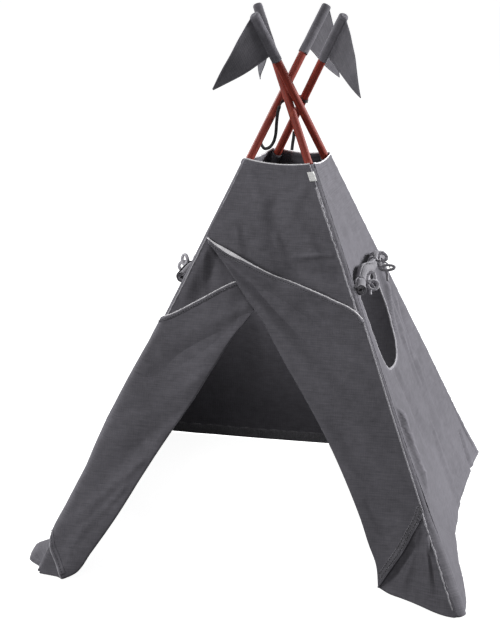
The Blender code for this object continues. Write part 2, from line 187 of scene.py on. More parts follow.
def wood_material(name):
    """Red stained round pole: fine grain along it, darker streaks, worn lighter patches."""
    n = Nodes(name)
    uv = n.add("UVMap").outputs[0]
    grain = n.streaks(uv, 520.0, 9.0, 5.0, 0.62)
    streak = n.streaks(uv, 120.0, 2.4, 3.0, 0.6)
    patch = n.streaks(uv, 30.0, 14.0, 2.0, 0.5)
    fac = n.add("Clamp", {"Value": n.maths(
        "ADD", n.ramp(grain, 0.3, 0.7, 0.1, 0.62), n.ramp(streak, 0.35, 0.7, -0.1, 0.38))})
    red = n.mix(fac.outputs[0], (0.092, 0.012, 0.009, 1.0), (0.345, 0.047, 0.027, 1.0))
    worn = n.ramp(patch, 0.6, 0.74, 0.0, 0.55)
    n.look(Base_Color=n.mix(worn, red, (0.5, 0.115, 0.052, 1.0)),
           Roughness=n.ramp(grain, 0.3, 0.7, 0.46, 0.66), Specular_IOR_Level=0.28)
    return n.look(Normal=n.bump(0.35, 0.0006, grain))


def tape_material(name, tone, pale):
    """Woven cotton tape: cross ribs and a little fading."""
    n = Nodes(name)
    uv = n.add("UVMap").outputs[0]
    ribs = n.add("TexWave", {"Vector": uv, "Scale": 42.0, "Distortion": 0.6},
                 bands_direction="Y").outputs["Fac"]
    fade = n.streaks(uv, 300.0, 60.0, 3.0, 0.6)
    fac = n.maths("ADD", n.ramp(ribs, 0.0, 1.0, 0.0, 0.45), n.ramp(fade, 0.3, 0.7, 0.0, 0.5))
    n.look(Base_Color=n.mix(fac, (*tone, 1.0), (*pale, 1.0)),
           Roughness=n.ramp(fade, 0.3, 0.7, 0.6, 0.8), Sheen_Weight=0.15)
    return n.look(Normal=n.bump(0.5, 0.0004, ribs))


CANVAS = canvas_material("canvas_washed", (0.118, 0.114, 0.129))
PENNANT = canvas_material("canvas_pennant", (0.094, 0.091, 0.103))
# a lighter copy of the canvas whose tone paints the light on lit edges; the bows' ties are drawn in
# it
LIGHT_PAINTED_CANVAS = canvas_material("canvas_painted_light", (0.3, 0.294, 0.315), dark=0.9, edge_wear_and_highlight=0.5)
# a near-white copy of the canvas: painted highlight on the lit free edges and on the collars' top
# rims
PAINTED_HIGHLIGHT_EDGE = canvas_material("canvas_painted_highlight_edge", (0.62, 0.61, 0.63), dark=0.9, edge_wear_and_highlight=0.3)
# a lighter copy of the canvas with light flecks: the flecks are fuzz, the lighter tone is a painted
# highlight on seam ridges and bound edges
SEAM_FUZZ_AND_HIGHLIGHT = canvas_material("canvas_seam_fuzz_and_highlight", (0.235, 0.23, 0.248), dark=0.75, edge_wear_and_highlight=0.8, flecks=0.7)
BLIND = canvas_material("canvas_blind", (0.185, 0.18, 0.195), dark=0.7, edge_wear_and_highlight=0.6)
HEM_BAND = canvas_material("canvas_hem_band", (0.135, 0.131, 0.145), dark=0.6, flecks=0.9)
FUZZY = canvas_material("canvas_back_hem", (0.15, 0.147, 0.158), dark=0.7, flecks=1.1)
WOOD = wood_material("pole_red_stain")
TAPE = tape_material("ribbon_black", (0.005, 0.005, 0.006), (0.022, 0.022, 0.026))
LABEL = tape_material("label_white", (0.7, 0.7, 0.69), (0.88, 0.88, 0.87))
THREAD = tape_material("thread_grey", (0.1, 0.1, 0.11), (0.2, 0.2, 0.22))
# near-black stitches: painted shadow of the stitch holes in the hem bands
PAINTED_SHADOW_THREAD = tape_material("thread_painted_shadow", (0.012, 0.012, 0.014), (0.035, 0.035, 0.04))


# ---- where the frame is
JOINTS = {joint["name"]: joint for joint in frame["joints"]}
CROSSING = JOINTS["frame_fold"]["pos_m"][2]
SLOPE = CROSSING * 1.09  # metres up a wall's slope for one share
CORNERS = ("front_left", "front_right", "back_right", "back_left")
# s runs along each wall from its first pole to its second, anticlockwise seen from above
FACES = {"front": ("front_left", "front_right"), "right": ("front_right", "back_right"),
         "back": ("back_right", "back_left"), "left": ("back_left", "front_left")}
WALL_RADIUS = 0.0176     # from a pole's axis to the middle of the cloth that runs past it
WALL_LEAN = 0.41         # how far the cloth rises for each metre that it stands out of its wall
TUNNEL_RADIUS = 0.0157
CLOTH = 0.0014
POLE_RADIUS = 0.0125
COLLAR = 0.862           # share of the way to the crossing at which the cover stops
FLOOR = 0.004


def unit(v):
    return v / np.linalg.norm(v, axis=-1, keepdims=True)


def smooth(t):
    t = np.clip(t, 0.0, 1.0)
    return t * t * (3.0 - 2.0 * t)


def bell(x, reach):
    return np.exp(-(x / reach) ** 2)


def pair(a, b):
    return np.stack((a, b), axis=-1)


def turned(a, b, angle):
    """The direction that lies at an angle from a towards b."""
    return a * np.cos(angle)[..., None] + b * np.sin(angle)[..., None]


def repeated(row, like):
    """One row, as often as like has rows."""
    return np.repeat(np.array(row, float)[None], len(like), axis=0)


def lengths(path):
    """How far along a path each of its points lies."""
    return np.concatenate(([0], np.cumsum(np.linalg.norm(np.diff(path, axis=0), axis=1))))


def read_pole(corner):
    """Foot on the floor, direction and tip of a pole, from its flag's joint."""
    joint = JOINTS[f"flag_{corner}_swivel"]
    tip, axis = np.array(joint["pos_m"], float), unit(np.array(joint["axis"], float))
    return tip - axis * tip[2] / axis[2], axis, tip


POLES = {corner: read_pole(corner) for corner in CORNERS}


def side_of(name):
    return "right_frame" if name.endswith("right") else "left_frame"


def on_pole(corner, k):
    foot, axis, _ = POLES[corner]
    return foot + axis * (np.asarray(k, float)[..., None] * CROSSING / axis[2])


def width_at(face, k):
    first, second = FACES[face]
    return np.linalg.norm(on_pole(second, k) - on_pole(first, k), axis=-1)


def wall(face, s, k, out=0.0):
    """A point of a wall's cloth. Beyond s = 0 or 1 it goes round the pole."""
    s, k, out = (np.array(a, float) for a in np.broadcast_arrays(s, k, out))
    first, second = FACES[face]
    a, b = on_pole(first, k), on_pole(second, k)
    across = b - a
    width = np.linalg.norm(across, axis=-1)
    t = np.clip(s, 0.0, 1.0)[..., None]
    normals = [unit(np.cross(across, POLES[name][1])) for name in (first, second)]
    normal = unit(normals[0] * (1 - t) + normals[1] * t)
    radius = (WALL_RADIUS + out)[..., None]
    place = a * (1 - t) + b * t + normal * radius
    for beyond, name, end, facing, sign in ((s < 0, first, a, normals[0], -1),
                                            (s > 1, second, b, normals[1], 1)):
        axis = POLES[name][1]
        side = unit(across - axis * (across @ axis)[..., None]) * sign
        angle = np.abs(s - np.clip(s, 0, 1)) * width / (WALL_RADIUS + out)
        place = np.where(beyond[..., None], end + turned(facing, side, angle) * radius, place)
    return place


# ---- curves and patches
def curve(points, t):
    """A smooth curve through the points, evenly spaced by length."""
    points = np.array(points, float)
    if len(points) == 2:
        return points[0] + (points[1] - points[0]) * np.asarray(t)[..., None]
    steps = np.linalg.norm(np.diff(points, axis=0), axis=1)
    u = np.concatenate(([0], np.cumsum(steps))) / steps.sum()
    slopes = np.gradient(points, u, axis=0)
    t = np.asarray(t, float)
    i = np.clip(np.searchsorted(u, t, side="right") - 1, 0, len(u) - 2)
    h = (u[i + 1] - u[i])[..., None]
    x = ((t - u[i]) / (u[i + 1] - u[i]))[..., None]
    return ((2 * x**3 - 3 * x**2 + 1) * points[i] + (x**3 - 2 * x**2 + x) * h * slopes[i]
            + (3 * x**2 - 2 * x**3) * points[i + 1] + (x**3 - x**2) * h * slopes[i + 1])


def drawn(points, count):
    """Evenly spaced places on the smooth curve through the points."""
    return curve(points, np.linspace(0, 1, count))


def coons(top, bottom, left, right, u, v):
    """Places inside four edge curves; u runs left to right, v from the top down."""
    u, v = np.meshgrid(u, v)
    tp, bt, lf, rt = curve(top, u), curve(bottom, u), curve(left, v), curve(right, v)
    u, v = u[..., None], v[..., None]
    corners = ((1 - u) * (1 - v) * np.array(top[0]) + u * (1 - v) * np.array(top[-1])
               + (1 - u) * v * np.array(bottom[0]) + u * v * np.array(bottom[-1]))
    return (1 - v) * tp + v * bt + (1 - u) * lf + u * rt - corners


def edged(count, edge, finer):
    """Evenly spaced shares from 0 to 1, with extra ones close to both ends."""
    extra = edge * (np.arange(1, finer + 1) / (finer + 1)) ** 1.3
    inner = np.linspace(edge, 1 - edge, count)
    return np.concatenate(([0], extra, inner, 1 - extra[::-1], [1]))


def edit_mesh(mesh, change):
    """Changes a mesh through a bmesh."""
    work = bmesh.new()
    work.from_mesh(mesh)
    change(work)
    work.to_mesh(mesh)
    work.free()


def drop_loose(work):
    loose = [v for v in work.verts if not v.link_faces]
    bmesh.ops.delete(work, geom=loose, context="VERTS")


def close_ends(item, count):
    """Closes both ends of a tube whose rings have count points."""
    def add_ends(work):
        verts = list(work.verts)
        work.faces.new(verts[:count][::-1])
        work.faces.new(verts[-count:])
        bmesh.ops.recalc_face_normals(work, faces=work.faces)

    edit_mesh(item.data, add_ends)
    item.data.shade_smooth()


def link_mesh(name, mesh, material):
    item = link(name, mesh)
    mesh.materials.append(material)
    mesh.shade_smooth()
    return item


def grid_piece(name, places, uv, material, keep=None, thickness=CLOTH, closed=False):
    """A sheet over a grid of places. keep says which of its cells stay."""
    rows, columns = places.shape[:2]
    index = np.arange(rows * columns).reshape(rows, columns)
    if closed:
        index = np.concatenate((index, index[:, :1]), axis=1)
        uv = np.concatenate((uv, uv[:, :1] + (uv[:, -1:] - uv[:, -2:-1])), axis=1)
    faces, uvs = (np.stack([grid[:-1, :-1], grid[1:, :-1], grid[1:, 1:], grid[:-1, 1:]], axis=2)
                  for grid in (index, uv))
    faces, uvs = faces.reshape(-1, 4), uvs.reshape(-1, 4, 2)
    if keep is not None:
        faces, uvs = faces[keep.ravel()], uvs[keep.ravel()]
    mesh = bpy.data.meshes.new(name)
    mesh.from_pydata(places.reshape(-1, 3).tolist(), [], faces.tolist())
    layer = mesh.uv_layers.new(name="UVMap")
    layer.data.foreach_set("uv", uvs.reshape(-1).astype(np.float32))
    if keep is not None:
        edit_mesh(mesh, drop_loose)
    item = link_mesh(name, mesh, material)
    if thickness:
        solid = item.modifiers.new("thickness", "SOLIDIFY")
        solid.thickness, solid.offset = thickness, 0.0
    return item


def metres(places):
    """UVs in metres that follow a grid of places."""
    across = np.linalg.norm(np.diff(places, axis=1), axis=-1).mean(axis=0)
    down = np.linalg.norm(np.diff(places, axis=0), axis=-1).mean(axis=1)
    u = np.concatenate(([0], np.cumsum(across)))
    v = np.concatenate(([0], np.cumsum(down)))
    return np.stack(np.meshgrid(u, v), axis=-1)


def pattern(face, place):
    """UVs in metres on the wall's flat cut, so the threads run level and straight."""
    return plane(face, place[..., 0], place[..., 1])


def ripple(points, scale, seed):
    """Smooth noise from -1 to 1 at each point; scale is one number or one for each axis."""
    flat = (points * np.asarray(scale, float)).reshape(-1, points.shape[-1])
    if flat.shape[1] == 2:
        flat = np.concatenate((flat, np.zeros((len(flat), 1))), axis=1)
    values = [noise.noise(Vector(p) + Vector((seed * 7.3, seed * 3.1, seed * 1.7))) for p in flat]
    return np.array(values).reshape(points.shape[:-1])


def ripple_along(distance, seed):
    return ripple(pair(distance, distance * 0), 1.0, seed)


# ---- how the cloth hangs
def plane(face, s, k):
    """Metres across from the wall's middle, and metres up its slope."""
    return pair((s - 0.5) * width_at(face, k), np.asarray(k) * SLOPE)


def crease(face, s, k, start, end, width, height, skew):
    """A fold from start to end, both (s, share), that fades out towards its ends."""
    p = plane(face, s, k)
    a, b = (plane(face, *np.array(q)) for q in (start, end))
    d = b - a
    length = np.linalg.norm(d)
    d = d / length
    along = ((p - a) @ d) / length
    off = (p - a) @ np.array((-d[1], d[0]))
    spread = width * (0.45 + 0.75 * np.clip(along, 0, 1.2))
    fade = smooth(along / 0.12) * smooth((1.12 - along) / 0.45)
    return height * fade * (bell(off, spread) - skew * bell(off - 1.6 * spread, spread))


# how far the hem stands out of each wall's plane, as (s, metres)
HEM_OUT = {
    "front": ((-0.03, 0.0), (0.03, 0.012), (0.057, 0.022), (0.12, 0.012), (0.5, -0.05),
              (0.818, -0.072), (0.862, -0.045), (0.9, -0.017), (0.937, 0.004),
              (0.973, 0.024), (1.03, 0.04)),
    "right": ((-0.06, 0.004), (-0.02, 0.013), (0.042, 0.014), (0.151, 0.001), (0.265, -0.017),
              (0.418, -0.039), (0.583, -0.044), (0.75, -0.031), (0.879, -0.02), (1.04, -0.004)),
    "back": ((-0.05, 0.004), (0.1, 0.004), (0.3, -0.012), (0.5, -0.016), (0.7, -0.012),
             (0.9, -0.002), (1.05, 0.002)),
    "left": ((-0.05, 0.006), (0.1, -0.006), (0.35, -0.03), (0.6, -0.03), (0.8, 0.0),
             (0.87, 0.018), (0.91, 0.045), (0.945, 0.037), (0.975, 0.002), (1.05, -0.004)),
}
HEM_HEIGHT = {"front": 0.2, "right": 0.33, "back": 0.2, "left": 0.046}
SAG = {"front": 0.004, "right": 0.032, "back": 0.018, "left": 0.026}
CREASES = {
    "front": (
        ((0.1, 0.845), (0.45, 0.74), 0.02, 0.0032), ((0.95, 0.83), (0.55, 0.7), 0.022, 0.0035),
        ((0.19, 0.725), (0.3, 0.65), 0.018, 0.006), ((0.44, 0.79), (0.66, 0.61), 0.048, -0.015),
        ((0.52, 0.72), (0.62, 0.64), 0.02, 0.005), ((0.8, 0.72), (0.86, 0.61), 0.026, 0.005),
        ((0.99, 0.68), (0.64, 0.668), 0.011, 0.009), ((1.0, 0.635), (0.55, 0.64), 0.036, -0.016),
    ),
    "right": (
        ((0.92, 0.6), (0.8, 0.36), 0.03, 0.012), ((0.86, 0.36), (0.7, 0.1), 0.04, 0.009),
        ((0.062, 0.375), (0.03, 0.185), 0.017, 0.029), ((0.9, 0.545), (0.72, 0.4), 0.012, 0.009),
        ((0.8, 0.42), (0.735, 0.27), 0.014, 0.007), ((0.96, 0.5), (0.8, 0.33), 0.016, 0.008),
        ((0.16, 0.56), (0.12, 0.3), 0.018, 0.006), ((0.45, 0.4), (0.52, 0.14), 0.04, -0.008),
        ((0.95, 0.105), (0.88, -0.01), 0.016, -0.013), ((0.66, 0.22), (0.6, 0.0), 0.03, 0.01),
        ((0.98, 0.3), (0.8, 0.02), 0.03, 0.004), ((0.1, 0.8), (0.6, 0.66), 0.03, 0.004),
    ),
    "back": (
        ((0.1, 0.8), (0.5, 0.45), 0.05, 0.006), ((0.92, 0.78), (0.55, 0.4), 0.05, 0.006),
        ((0.25, 0.4), (0.35, 0.05), 0.05, 0.008), ((0.72, 0.42), (0.62, 0.04), 0.06, -0.007),
    ),
    "left": (
        ((0.1, 0.6), (0.22, 0.3), 0.035, 0.01), ((0.14, 0.36), (0.3, 0.08), 0.045, 0.009),
        ((0.95, 0.4), (0.7, 0.14), 0.035, 0.008), ((0.9, 0.2), (0.84, 0.02), 0.02, 0.01),
    ),
}
# the short puckers where the right wall is pulled away from the front pole's sleeve
CREASES["right"] += tuple(((0.004, 0.34 - 0.019 * i), (0.055, 0.328 - 0.019 * i), 0.006,
                           0.0034 if i % 2 else -0.003) for i in range(7))
# where a corner of the cover spreads over the floor: direction and how far
FLARE = {"front_left": (0.003, -0.004), "front_right": (0.006, -0.04),
         "back_right": (0.004, 0.002), "back_left": (-0.012, 0.014)}
FLARE_REACH, FLARE_HEIGHT = 0.13, 0.15


def hang(face, s, k):
    """How far a wall's cloth stands out of its plane: sag, hem, folds and fine unevenness."""
    t = np.clip(s, 0.0, 1.0)
    middle = 1.0 - np.abs(2 * t - 1) ** 2.6
    loose = np.interp(k, (0.0, 0.45, 0.6, 0.72, COLLAR), (1.1, 1.0, 0.85, 0.35, 0.0))
    low = 1.0 - smooth(np.asarray(k) / HEM_HEIGHT[face])
    out = hem_out(face, s) * low - SAG[face] * middle * loose * (1 - low)
    for fold in CREASES[face]:
        out = out + crease(face, s, k, *fold, 0.35)
    p = plane(face, s, k)
    seed = float(list(FACES).index(face) + 1)
    soft = smooth(np.minimum(t, 1 - t) * width_at(face, k) / 0.09)
    out = out + soft * (0.0065 * ripple(p, (3.4, 2.0), seed) + 0.0022 * ripple(p, (11, 7), seed))
    return out + 0.0006 * ripple(p, (34, 26), seed)


def hem_out(face, s):
    return np.interp(s, *zip(*HEM_OUT[face]))


def spread(places):
    """Moves the cloth outwards near the feet, where the cover lies loose on the floor."""
    places = places.copy()
    for corner, reach in FLARE.items():
        foot = POLES[corner][0]
        away = np.linalg.norm(places[..., :2] - foot[:2], axis=-1)
        share = smooth(1 - places[..., 2] / FLARE_HEIGHT) * smooth(1 - away / FLARE_REACH)
        places[..., :2] += share[..., None] * np.array(reach)
    places[..., 2] = np.maximum(places[..., 2], FLOOR)
    return places


def hem_share(face, s):
    """The share at which a wall's cloth reaches the floor."""
    return (FLOOR - WALL_LEAN * (WALL_RADIUS + hem_out(face, s))) / CROSSING


def cloth(face, place, lift=0.0):
    s, k = place[..., 0], place[..., 1]
    return spread(wall(face, s, k, hang(face, s, k) + lift))


# ---- edges, seams, stitches
def sweep(name, path, normals, section, material):
    """A closed section of (along the side, along the normal) pairs swept on a path."""
    tangent = unit(np.gradient(path, axis=0))
    normals = unit(normals - tangent * (normals * tangent).sum(-1, keepdims=True))
    side = np.cross(tangent, normals)
    section = np.array(section, float)
    if section.ndim == 2:
        section = repeated(section, path)
    places = path[:, None] + side[:, None] * section[..., :1] + normals[:, None] * section[..., 1:]
    uv = np.stack(np.meshgrid(lengths(section[0]), lengths(path)), axis=-1)
    item = grid_piece(name, places, uv, material, thickness=0.0, closed=True)
    close_ends(item, section.shape[1])
    return item


def oval(width, height, count):
    """A flattened oval section."""
    angles = np.arange(count) / count * math.tau
    flat = np.sign(np.cos(angles)) * np.abs(np.cos(angles)) ** 0.6
    return pair(flat * width / 2, np.sin(angles) * height / 2)


def puckered(path, normals, size, pitch, seed):
    """Gives a sewn edge its small regular puckers."""
    return path + unit(normals) * (size * ripple_along(lengths(path) / pitch, seed))[:, None]


def resample(points, step):
    points = np.array(points, float)
    length = lengths(points)
    at = np.linspace(0, length[-1], max(int(length[-1] / step) + 1, 4))
    return np.stack([np.interp(at, length, points[:, i]) for i in range(3)], axis=-1)


def face_normals(face, edge, lift=0.0):
    """The outward normals of the cloth along a line of (s, share) places."""
    here, right, up = (cloth(face, edge + np.array(step), lift)
                       for step in ((0, 0), (0.01, 0), (0, 0.01)))
    return unit(np.cross(right - here, up - here))


def edge_band(name, face, edge, lift, width, height, material, body, *nodes, step=0.006):
    """A sewn band on the cloth along a line of (s, share) places."""
    edge = np.asarray(edge)
    length = lengths(cloth(face, edge, lift))[-1]
    edge = curve(edge, np.linspace(0, 1, max(int(length / step), 6)))
    normals = face_normals(face, edge, lift)
    path = puckered(cloth(face, edge, lift), normals, 0.0009, 0.016, len(name) + 0.5)
    settle(sweep(name, path, normals, oval(width, height, 12), material), body, *nodes)


def stitches(name, path, normals, material, body, pitch=0.0042, share=0.62, size=0.0011):
    """A row of raised stitches."""
    path = resample(path, pitch)
    normals = np.stack([np.interp(np.linspace(0, 1, len(path)), np.linspace(0, 1, len(normals)),
                                  normals[:, i]) for i in range(3)], axis=-1)
    tangent = unit(np.gradient(path, axis=0))
    side = np.cross(tangent, normals)
    verts, faces = [], []
    for p, t, n, w in zip(path, tangent, normals, side):
        a, b = p - t * pitch * share / 2, p + t * pitch * share / 2
        base = len(verts)
        verts += [a, b, p + w * size / 2, p - w * size / 2, p + n * size * 0.7, p - n * size * 0.4]
        for i, j in ((2, 4), (4, 3), (3, 5), (5, 2)):
            faces += [(base, base + i, base + j), (base + 1, base + j, base + i)]
    mesh = bpy.data.meshes.new(name)
    mesh.from_pydata([tuple(v) for v in verts], [], faces)
    mesh.uv_layers.new(name="UVMap")
    settle(link_mesh(name, mesh, material), body)


def settle(item, body, *nodes, slot="canvas"):
    """Puts a piece on its body, in place of the CAD's nodes.

    A body of (a, b, start, end) names a pair of bodies; such a piece only has its transform baked
    and is attached to neither.
    """
    if isinstance(body, str):
        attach(item, body)
    else:
        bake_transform(item)
    if nodes:
        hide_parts(*nodes)


# ---- ribbons: the two free tails
RIBBON = 0.01


def ribbon(name, points, material, width=RIBBON, thick=0.0009, facing=(0.25, -1.0, 0.2), twist=0.0):
    """A flat ribbon along a route. It turns by twist, in radians, from end to end."""
    t = np.linspace(0, 1, max(len(points) * 4, 24))
    path = curve(points, t)
    tangent = unit(np.gradient(path, axis=0))
    normals = repeated(facing, path)
    normals = unit(normals - tangent * (normals * tangent).sum(-1, keepdims=True))
    normals = turned(normals, np.cross(tangent, normals), twist * t)
    return sweep(name, path, normals, flat_section(width / 2, thick / 2), material), path


LONG_TAIL = ((-0.016, -0.03, 1.33), (-0.022, -0.022, 1.312), (-0.026, -0.012, 1.292),
             (-0.029, -0.004, 1.27), (-0.031, 0.002, 1.248), (-0.034, 0.004, 1.228),
             (-0.041, 0.004, 1.208), (-0.053, 0.004, 1.194), (-0.066, 0.006, 1.19),
             (-0.076, 0.012, 1.198), (-0.083, 0.018, 1.214))
SHORT_TAIL = ((0.026, -0.004, 1.25), (0.024, -0.002, 1.23), (0.021, 0.0, 1.21),
              (0.019, 0.0, 1.19))


def flat_section(half, deep):
    return (half, -deep), (half, deep), (-half, deep), (-half, -deep)


def add_tails():
    for label, route, twist in (("long", LONG_TAIL, 0.35), ("short", SHORT_TAIL, 0.3)):
        tail, path = ribbon("tie_ribbon_" + label, route, TAPE, twist=twist)
        settle(tail, "left_frame", "ribbon_tail_" + label, slot="ribbon")


add_tails()


# ---- poles
def add_pole(corner):
    """A round pole with softly rounded ends."""
    foot, axis, tip = POLES[corner]
    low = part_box("pole_" + corner)[0][2]
    start = foot + axis * (low + POLE_RADIUS * np.linalg.norm(axis[:2])) / axis[2]
    length = np.linalg.norm(tip - start)
    # distance from the end, and share of the full radius there
    rounding = ((0.0, 0.55), (0.0012, 0.8), (0.003, 0.93), (0.006, 1.0))
    distance, radius = np.array([
        *rounding, *((d, 1.0) for d in np.linspace(0.03, length - 0.03, 48)),
        *((length - d, r) for d, r in rounding[::-1])]).T
    across = unit(np.cross(axis, (1, 0, 0)))
    angles = np.arange(32) / 32 * math.tau
    uneven = np.minimum(1 + 0.006 * ripple_along(distance * 9, 2.0), 1.0)
    centre = start + axis * distance[:, None]
    places = centre[:, None] + turned(across, np.cross(axis, across), angles) \
        * (radius * (POLE_RADIUS - 0.0001) * uneven)[:, None, None]
    uv = np.stack(np.meshgrid(angles * POLE_RADIUS, distance), axis=-1)
    item = grid_piece("wood_" + corner, places, uv, WOOD, thickness=0, closed=True)
    close_ends(item, len(angles))
    settle(item, side_of(corner), "pole_" + corner, slot="pole_wood")


for corner in CORNERS:
    add_pole(corner)


# ---- tunnels round the poles
def corner_axes(corner):
    """The outward normals of the two walls that meet at a pole, square to it, and its axis."""
    axis = POLES[corner][1]
    pairs = [names for names in FACES.values() if corner in names]
    return *(unit(np.cross(on_pole(second, 0.4) - on_pole(first, 0.4), axis))
             for first, second in pairs), axis


# the angle round the pole, from the corner's middle, at which the walls are sewn together, and
# how far the cloth is tucked in beside the foot
SEAM_ANGLE = {"front_left": 0.44, "front_right": -0.58, "back_right": 0.1, "back_left": 0.0}
RECESS = {"front_left": 0.024}


def add_ridge(name, line, facing, sideways, pucker, sway, uneven, width, body):
    """A seam's narrow raised edge of doubled cloth, puckered by its thread."""
    line = puckered(puckered(line, facing, *pucker), sideways, *sway)
    thick = 1 + uneven * ripple_along(np.arange(len(line)) * 0.55, 8.0)
    section = oval(width, 0.0046, 8)[None] * thick[:, None, None]
    # the ridge takes the lighter seam canvas: fuzz and painted highlight
    settle(sweep(name, line, facing, section, SEAM_FUZZ_AND_HIGHLIGHT), body)


def add_tunnel(corner):
    """The cover's sleeve over a pole, puckered where it is sewn, with its closed foot."""
    first, second, axis = corner_axes(corner)
    out = unit(first + second)
    side = np.cross(axis, out)
    body = side_of(corner)
    k = np.linspace(0.0, COLLAR - 0.002, 150)
    grid_k, grid_a = np.meshgrid(k, np.arange(28) / 28 * math.tau, indexing="ij")
    where = np.stack((grid_k * 46, np.cos(grid_a) * 1.2, np.sin(grid_a) * 1.2), axis=-1)
    radius = TUNNEL_RADIUS + 0.0007 * ripple(where, 1.0, 3.0 + len(corner))
    radius += 0.0006 * ripple(where, (2.6, 1.5, 1.5), 5.0)
    places = on_pole(corner, grid_k) + turned(out, side, grid_a) * radius[..., None]
    places[..., 2] = np.maximum(places[..., 2], FLOOR / 2)
    item = grid_piece("tunnel_" + corner, places, pair(grid_a * TUNNEL_RADIUS, grid_k * SLOPE),
                      CANVAS, thickness=0.0008, closed=True)
    settle(item, body, "pole_sleeve_" + corner)
    # the rounded ridge outside it, from one wall round to the next, which spreads at the foot
    reach = math.acos(float(np.clip(first @ second, -1, 1))) / 2 + 0.5
    a = np.linspace(-reach, reach, 33)
    share = (a + reach) / (2 * reach)
    before, after = ([face for face, names in FACES.items() if names[i] == corner][0]
                     for i in (1, 0))

    def stand_out(k):
        """How far the two walls beside the pole stand out, at each angle between them."""
        return hang(before, k * 0 + 1.0, k) * (1 - share) + hang(after, k * 0, k) * share

    rise = turned(out, side, a)[:, 2]
    lowest = (FLOOR - rise * (WALL_RADIUS + stand_out(a * 0))) / CROSSING
    up = np.concatenate((np.linspace(0.0, 0.24, 44), np.linspace(0.245, 1.0, 130)))
    top = COLLAR - 0.001
    grid_k = lowest + (top - lowest) * up[:, None]
    grid_a = repeated(a, up)
    where = np.stack((grid_k * 60, grid_a * 1.6, grid_k * 0), axis=-1)
    seam = SEAM_ANGLE[corner]
    radius = WALL_RADIUS - 0.0009 + 0.0007 * ripple(where, 1.0, 7.0)
    radius += bell(grid_a - seam, 0.16) * (0.0022 + 0.0012 * ripple(where, (2.2, 0, 0), 9.0))
    # near the floor it stands out from the pole as far as the two walls beside it do
    radius += stand_out(grid_k)
    radius -= RECESS.get(corner, 0.0) * smooth(1 - grid_k / 0.075) * bell(grid_a - 0.35, 0.5)
    places = spread(on_pole(corner, grid_k) + turned(out, side, grid_a) * radius[..., None])
    uv = pair(grid_a * WALL_RADIUS, grid_k * SLOPE)
    settle(grid_piece("corner_" + corner, places, uv, CANVAS), body, "foot_pocket_" + corner)
    line = resample(places[:, int(np.argmin(np.abs(a - seam)))], 0.005)
    facing = repeated(turned(out, side, seam), line)
    add_ridge("ridge_" + corner, line, facing, np.cross(facing, axis), (0.0016, 0.01, 3.3),
              (0.0012, 0.017, 5.9), 0.35, 0.004, body)
    # stitches on both sides of the seam
    for label, angle in (("a", seam + 0.34), ("b", seam - 0.34)):
        way = turned(out, side, angle)
        line = spread(on_pole(corner, top * up) + way * (WALL_RADIUS + 0.0001))
        stitches(f"seam_{corner}_{label}", line, repeated(way, line), THREAD, body)


for corner in CORNERS:
    add_tunnel(corner)


# ---- side walls and windows
# the window's edge as (s, share), down its left side, round its lower end and up again
WINDOW = ((0.305, 0.58), (0.28, 0.52), (0.272, 0.47), (0.29, 0.434), (0.335, 0.41),
          (0.415, 0.398), (0.52, 0.394), (0.62, 0.402), (0.695, 0.424), (0.745, 0.455),
          (0.785, 0.495), (0.802, 0.545), (0.806, 0.58))


def inside_of(outline, points):
    """Which of the points lie inside a closed outline."""
    found = np.zeros(points.shape[:-1], bool)
    x, y = points[..., 0], points[..., 1]
    for (x0, y0), (x1, y1) in zip(outline, np.roll(outline, -1, axis=0)):
        crosses = (y0 > y) != (y1 > y)
        with np.errstate(divide="ignore", invalid="ignore"):
            found ^= crosses & (x < (x1 - x0) * (y - y0) / (y1 - y0) + x0)
    return found


def nearest_on(outline, points):
    """The nearest places on a polyline to some points, in the same plane."""
    best, found = np.inf, points
    for a, b in zip(outline[:-1], outline[1:]):
        d = b - a
        t = np.clip(((points - a) @ d) / max(d @ d, 1e-12), 0, 1)[..., None]
        q = a + d * t
        gap = np.linalg.norm(points - q, axis=-1)
        closer = gap < best
        best, found = np.where(closer, gap, best), np.where(closer[..., None], q, found)
    return found


def slack(s):
    """1 halfway between two poles and 0 at both."""
    return 1 - (2 * np.clip(s, 0, 1) - 1) ** 2


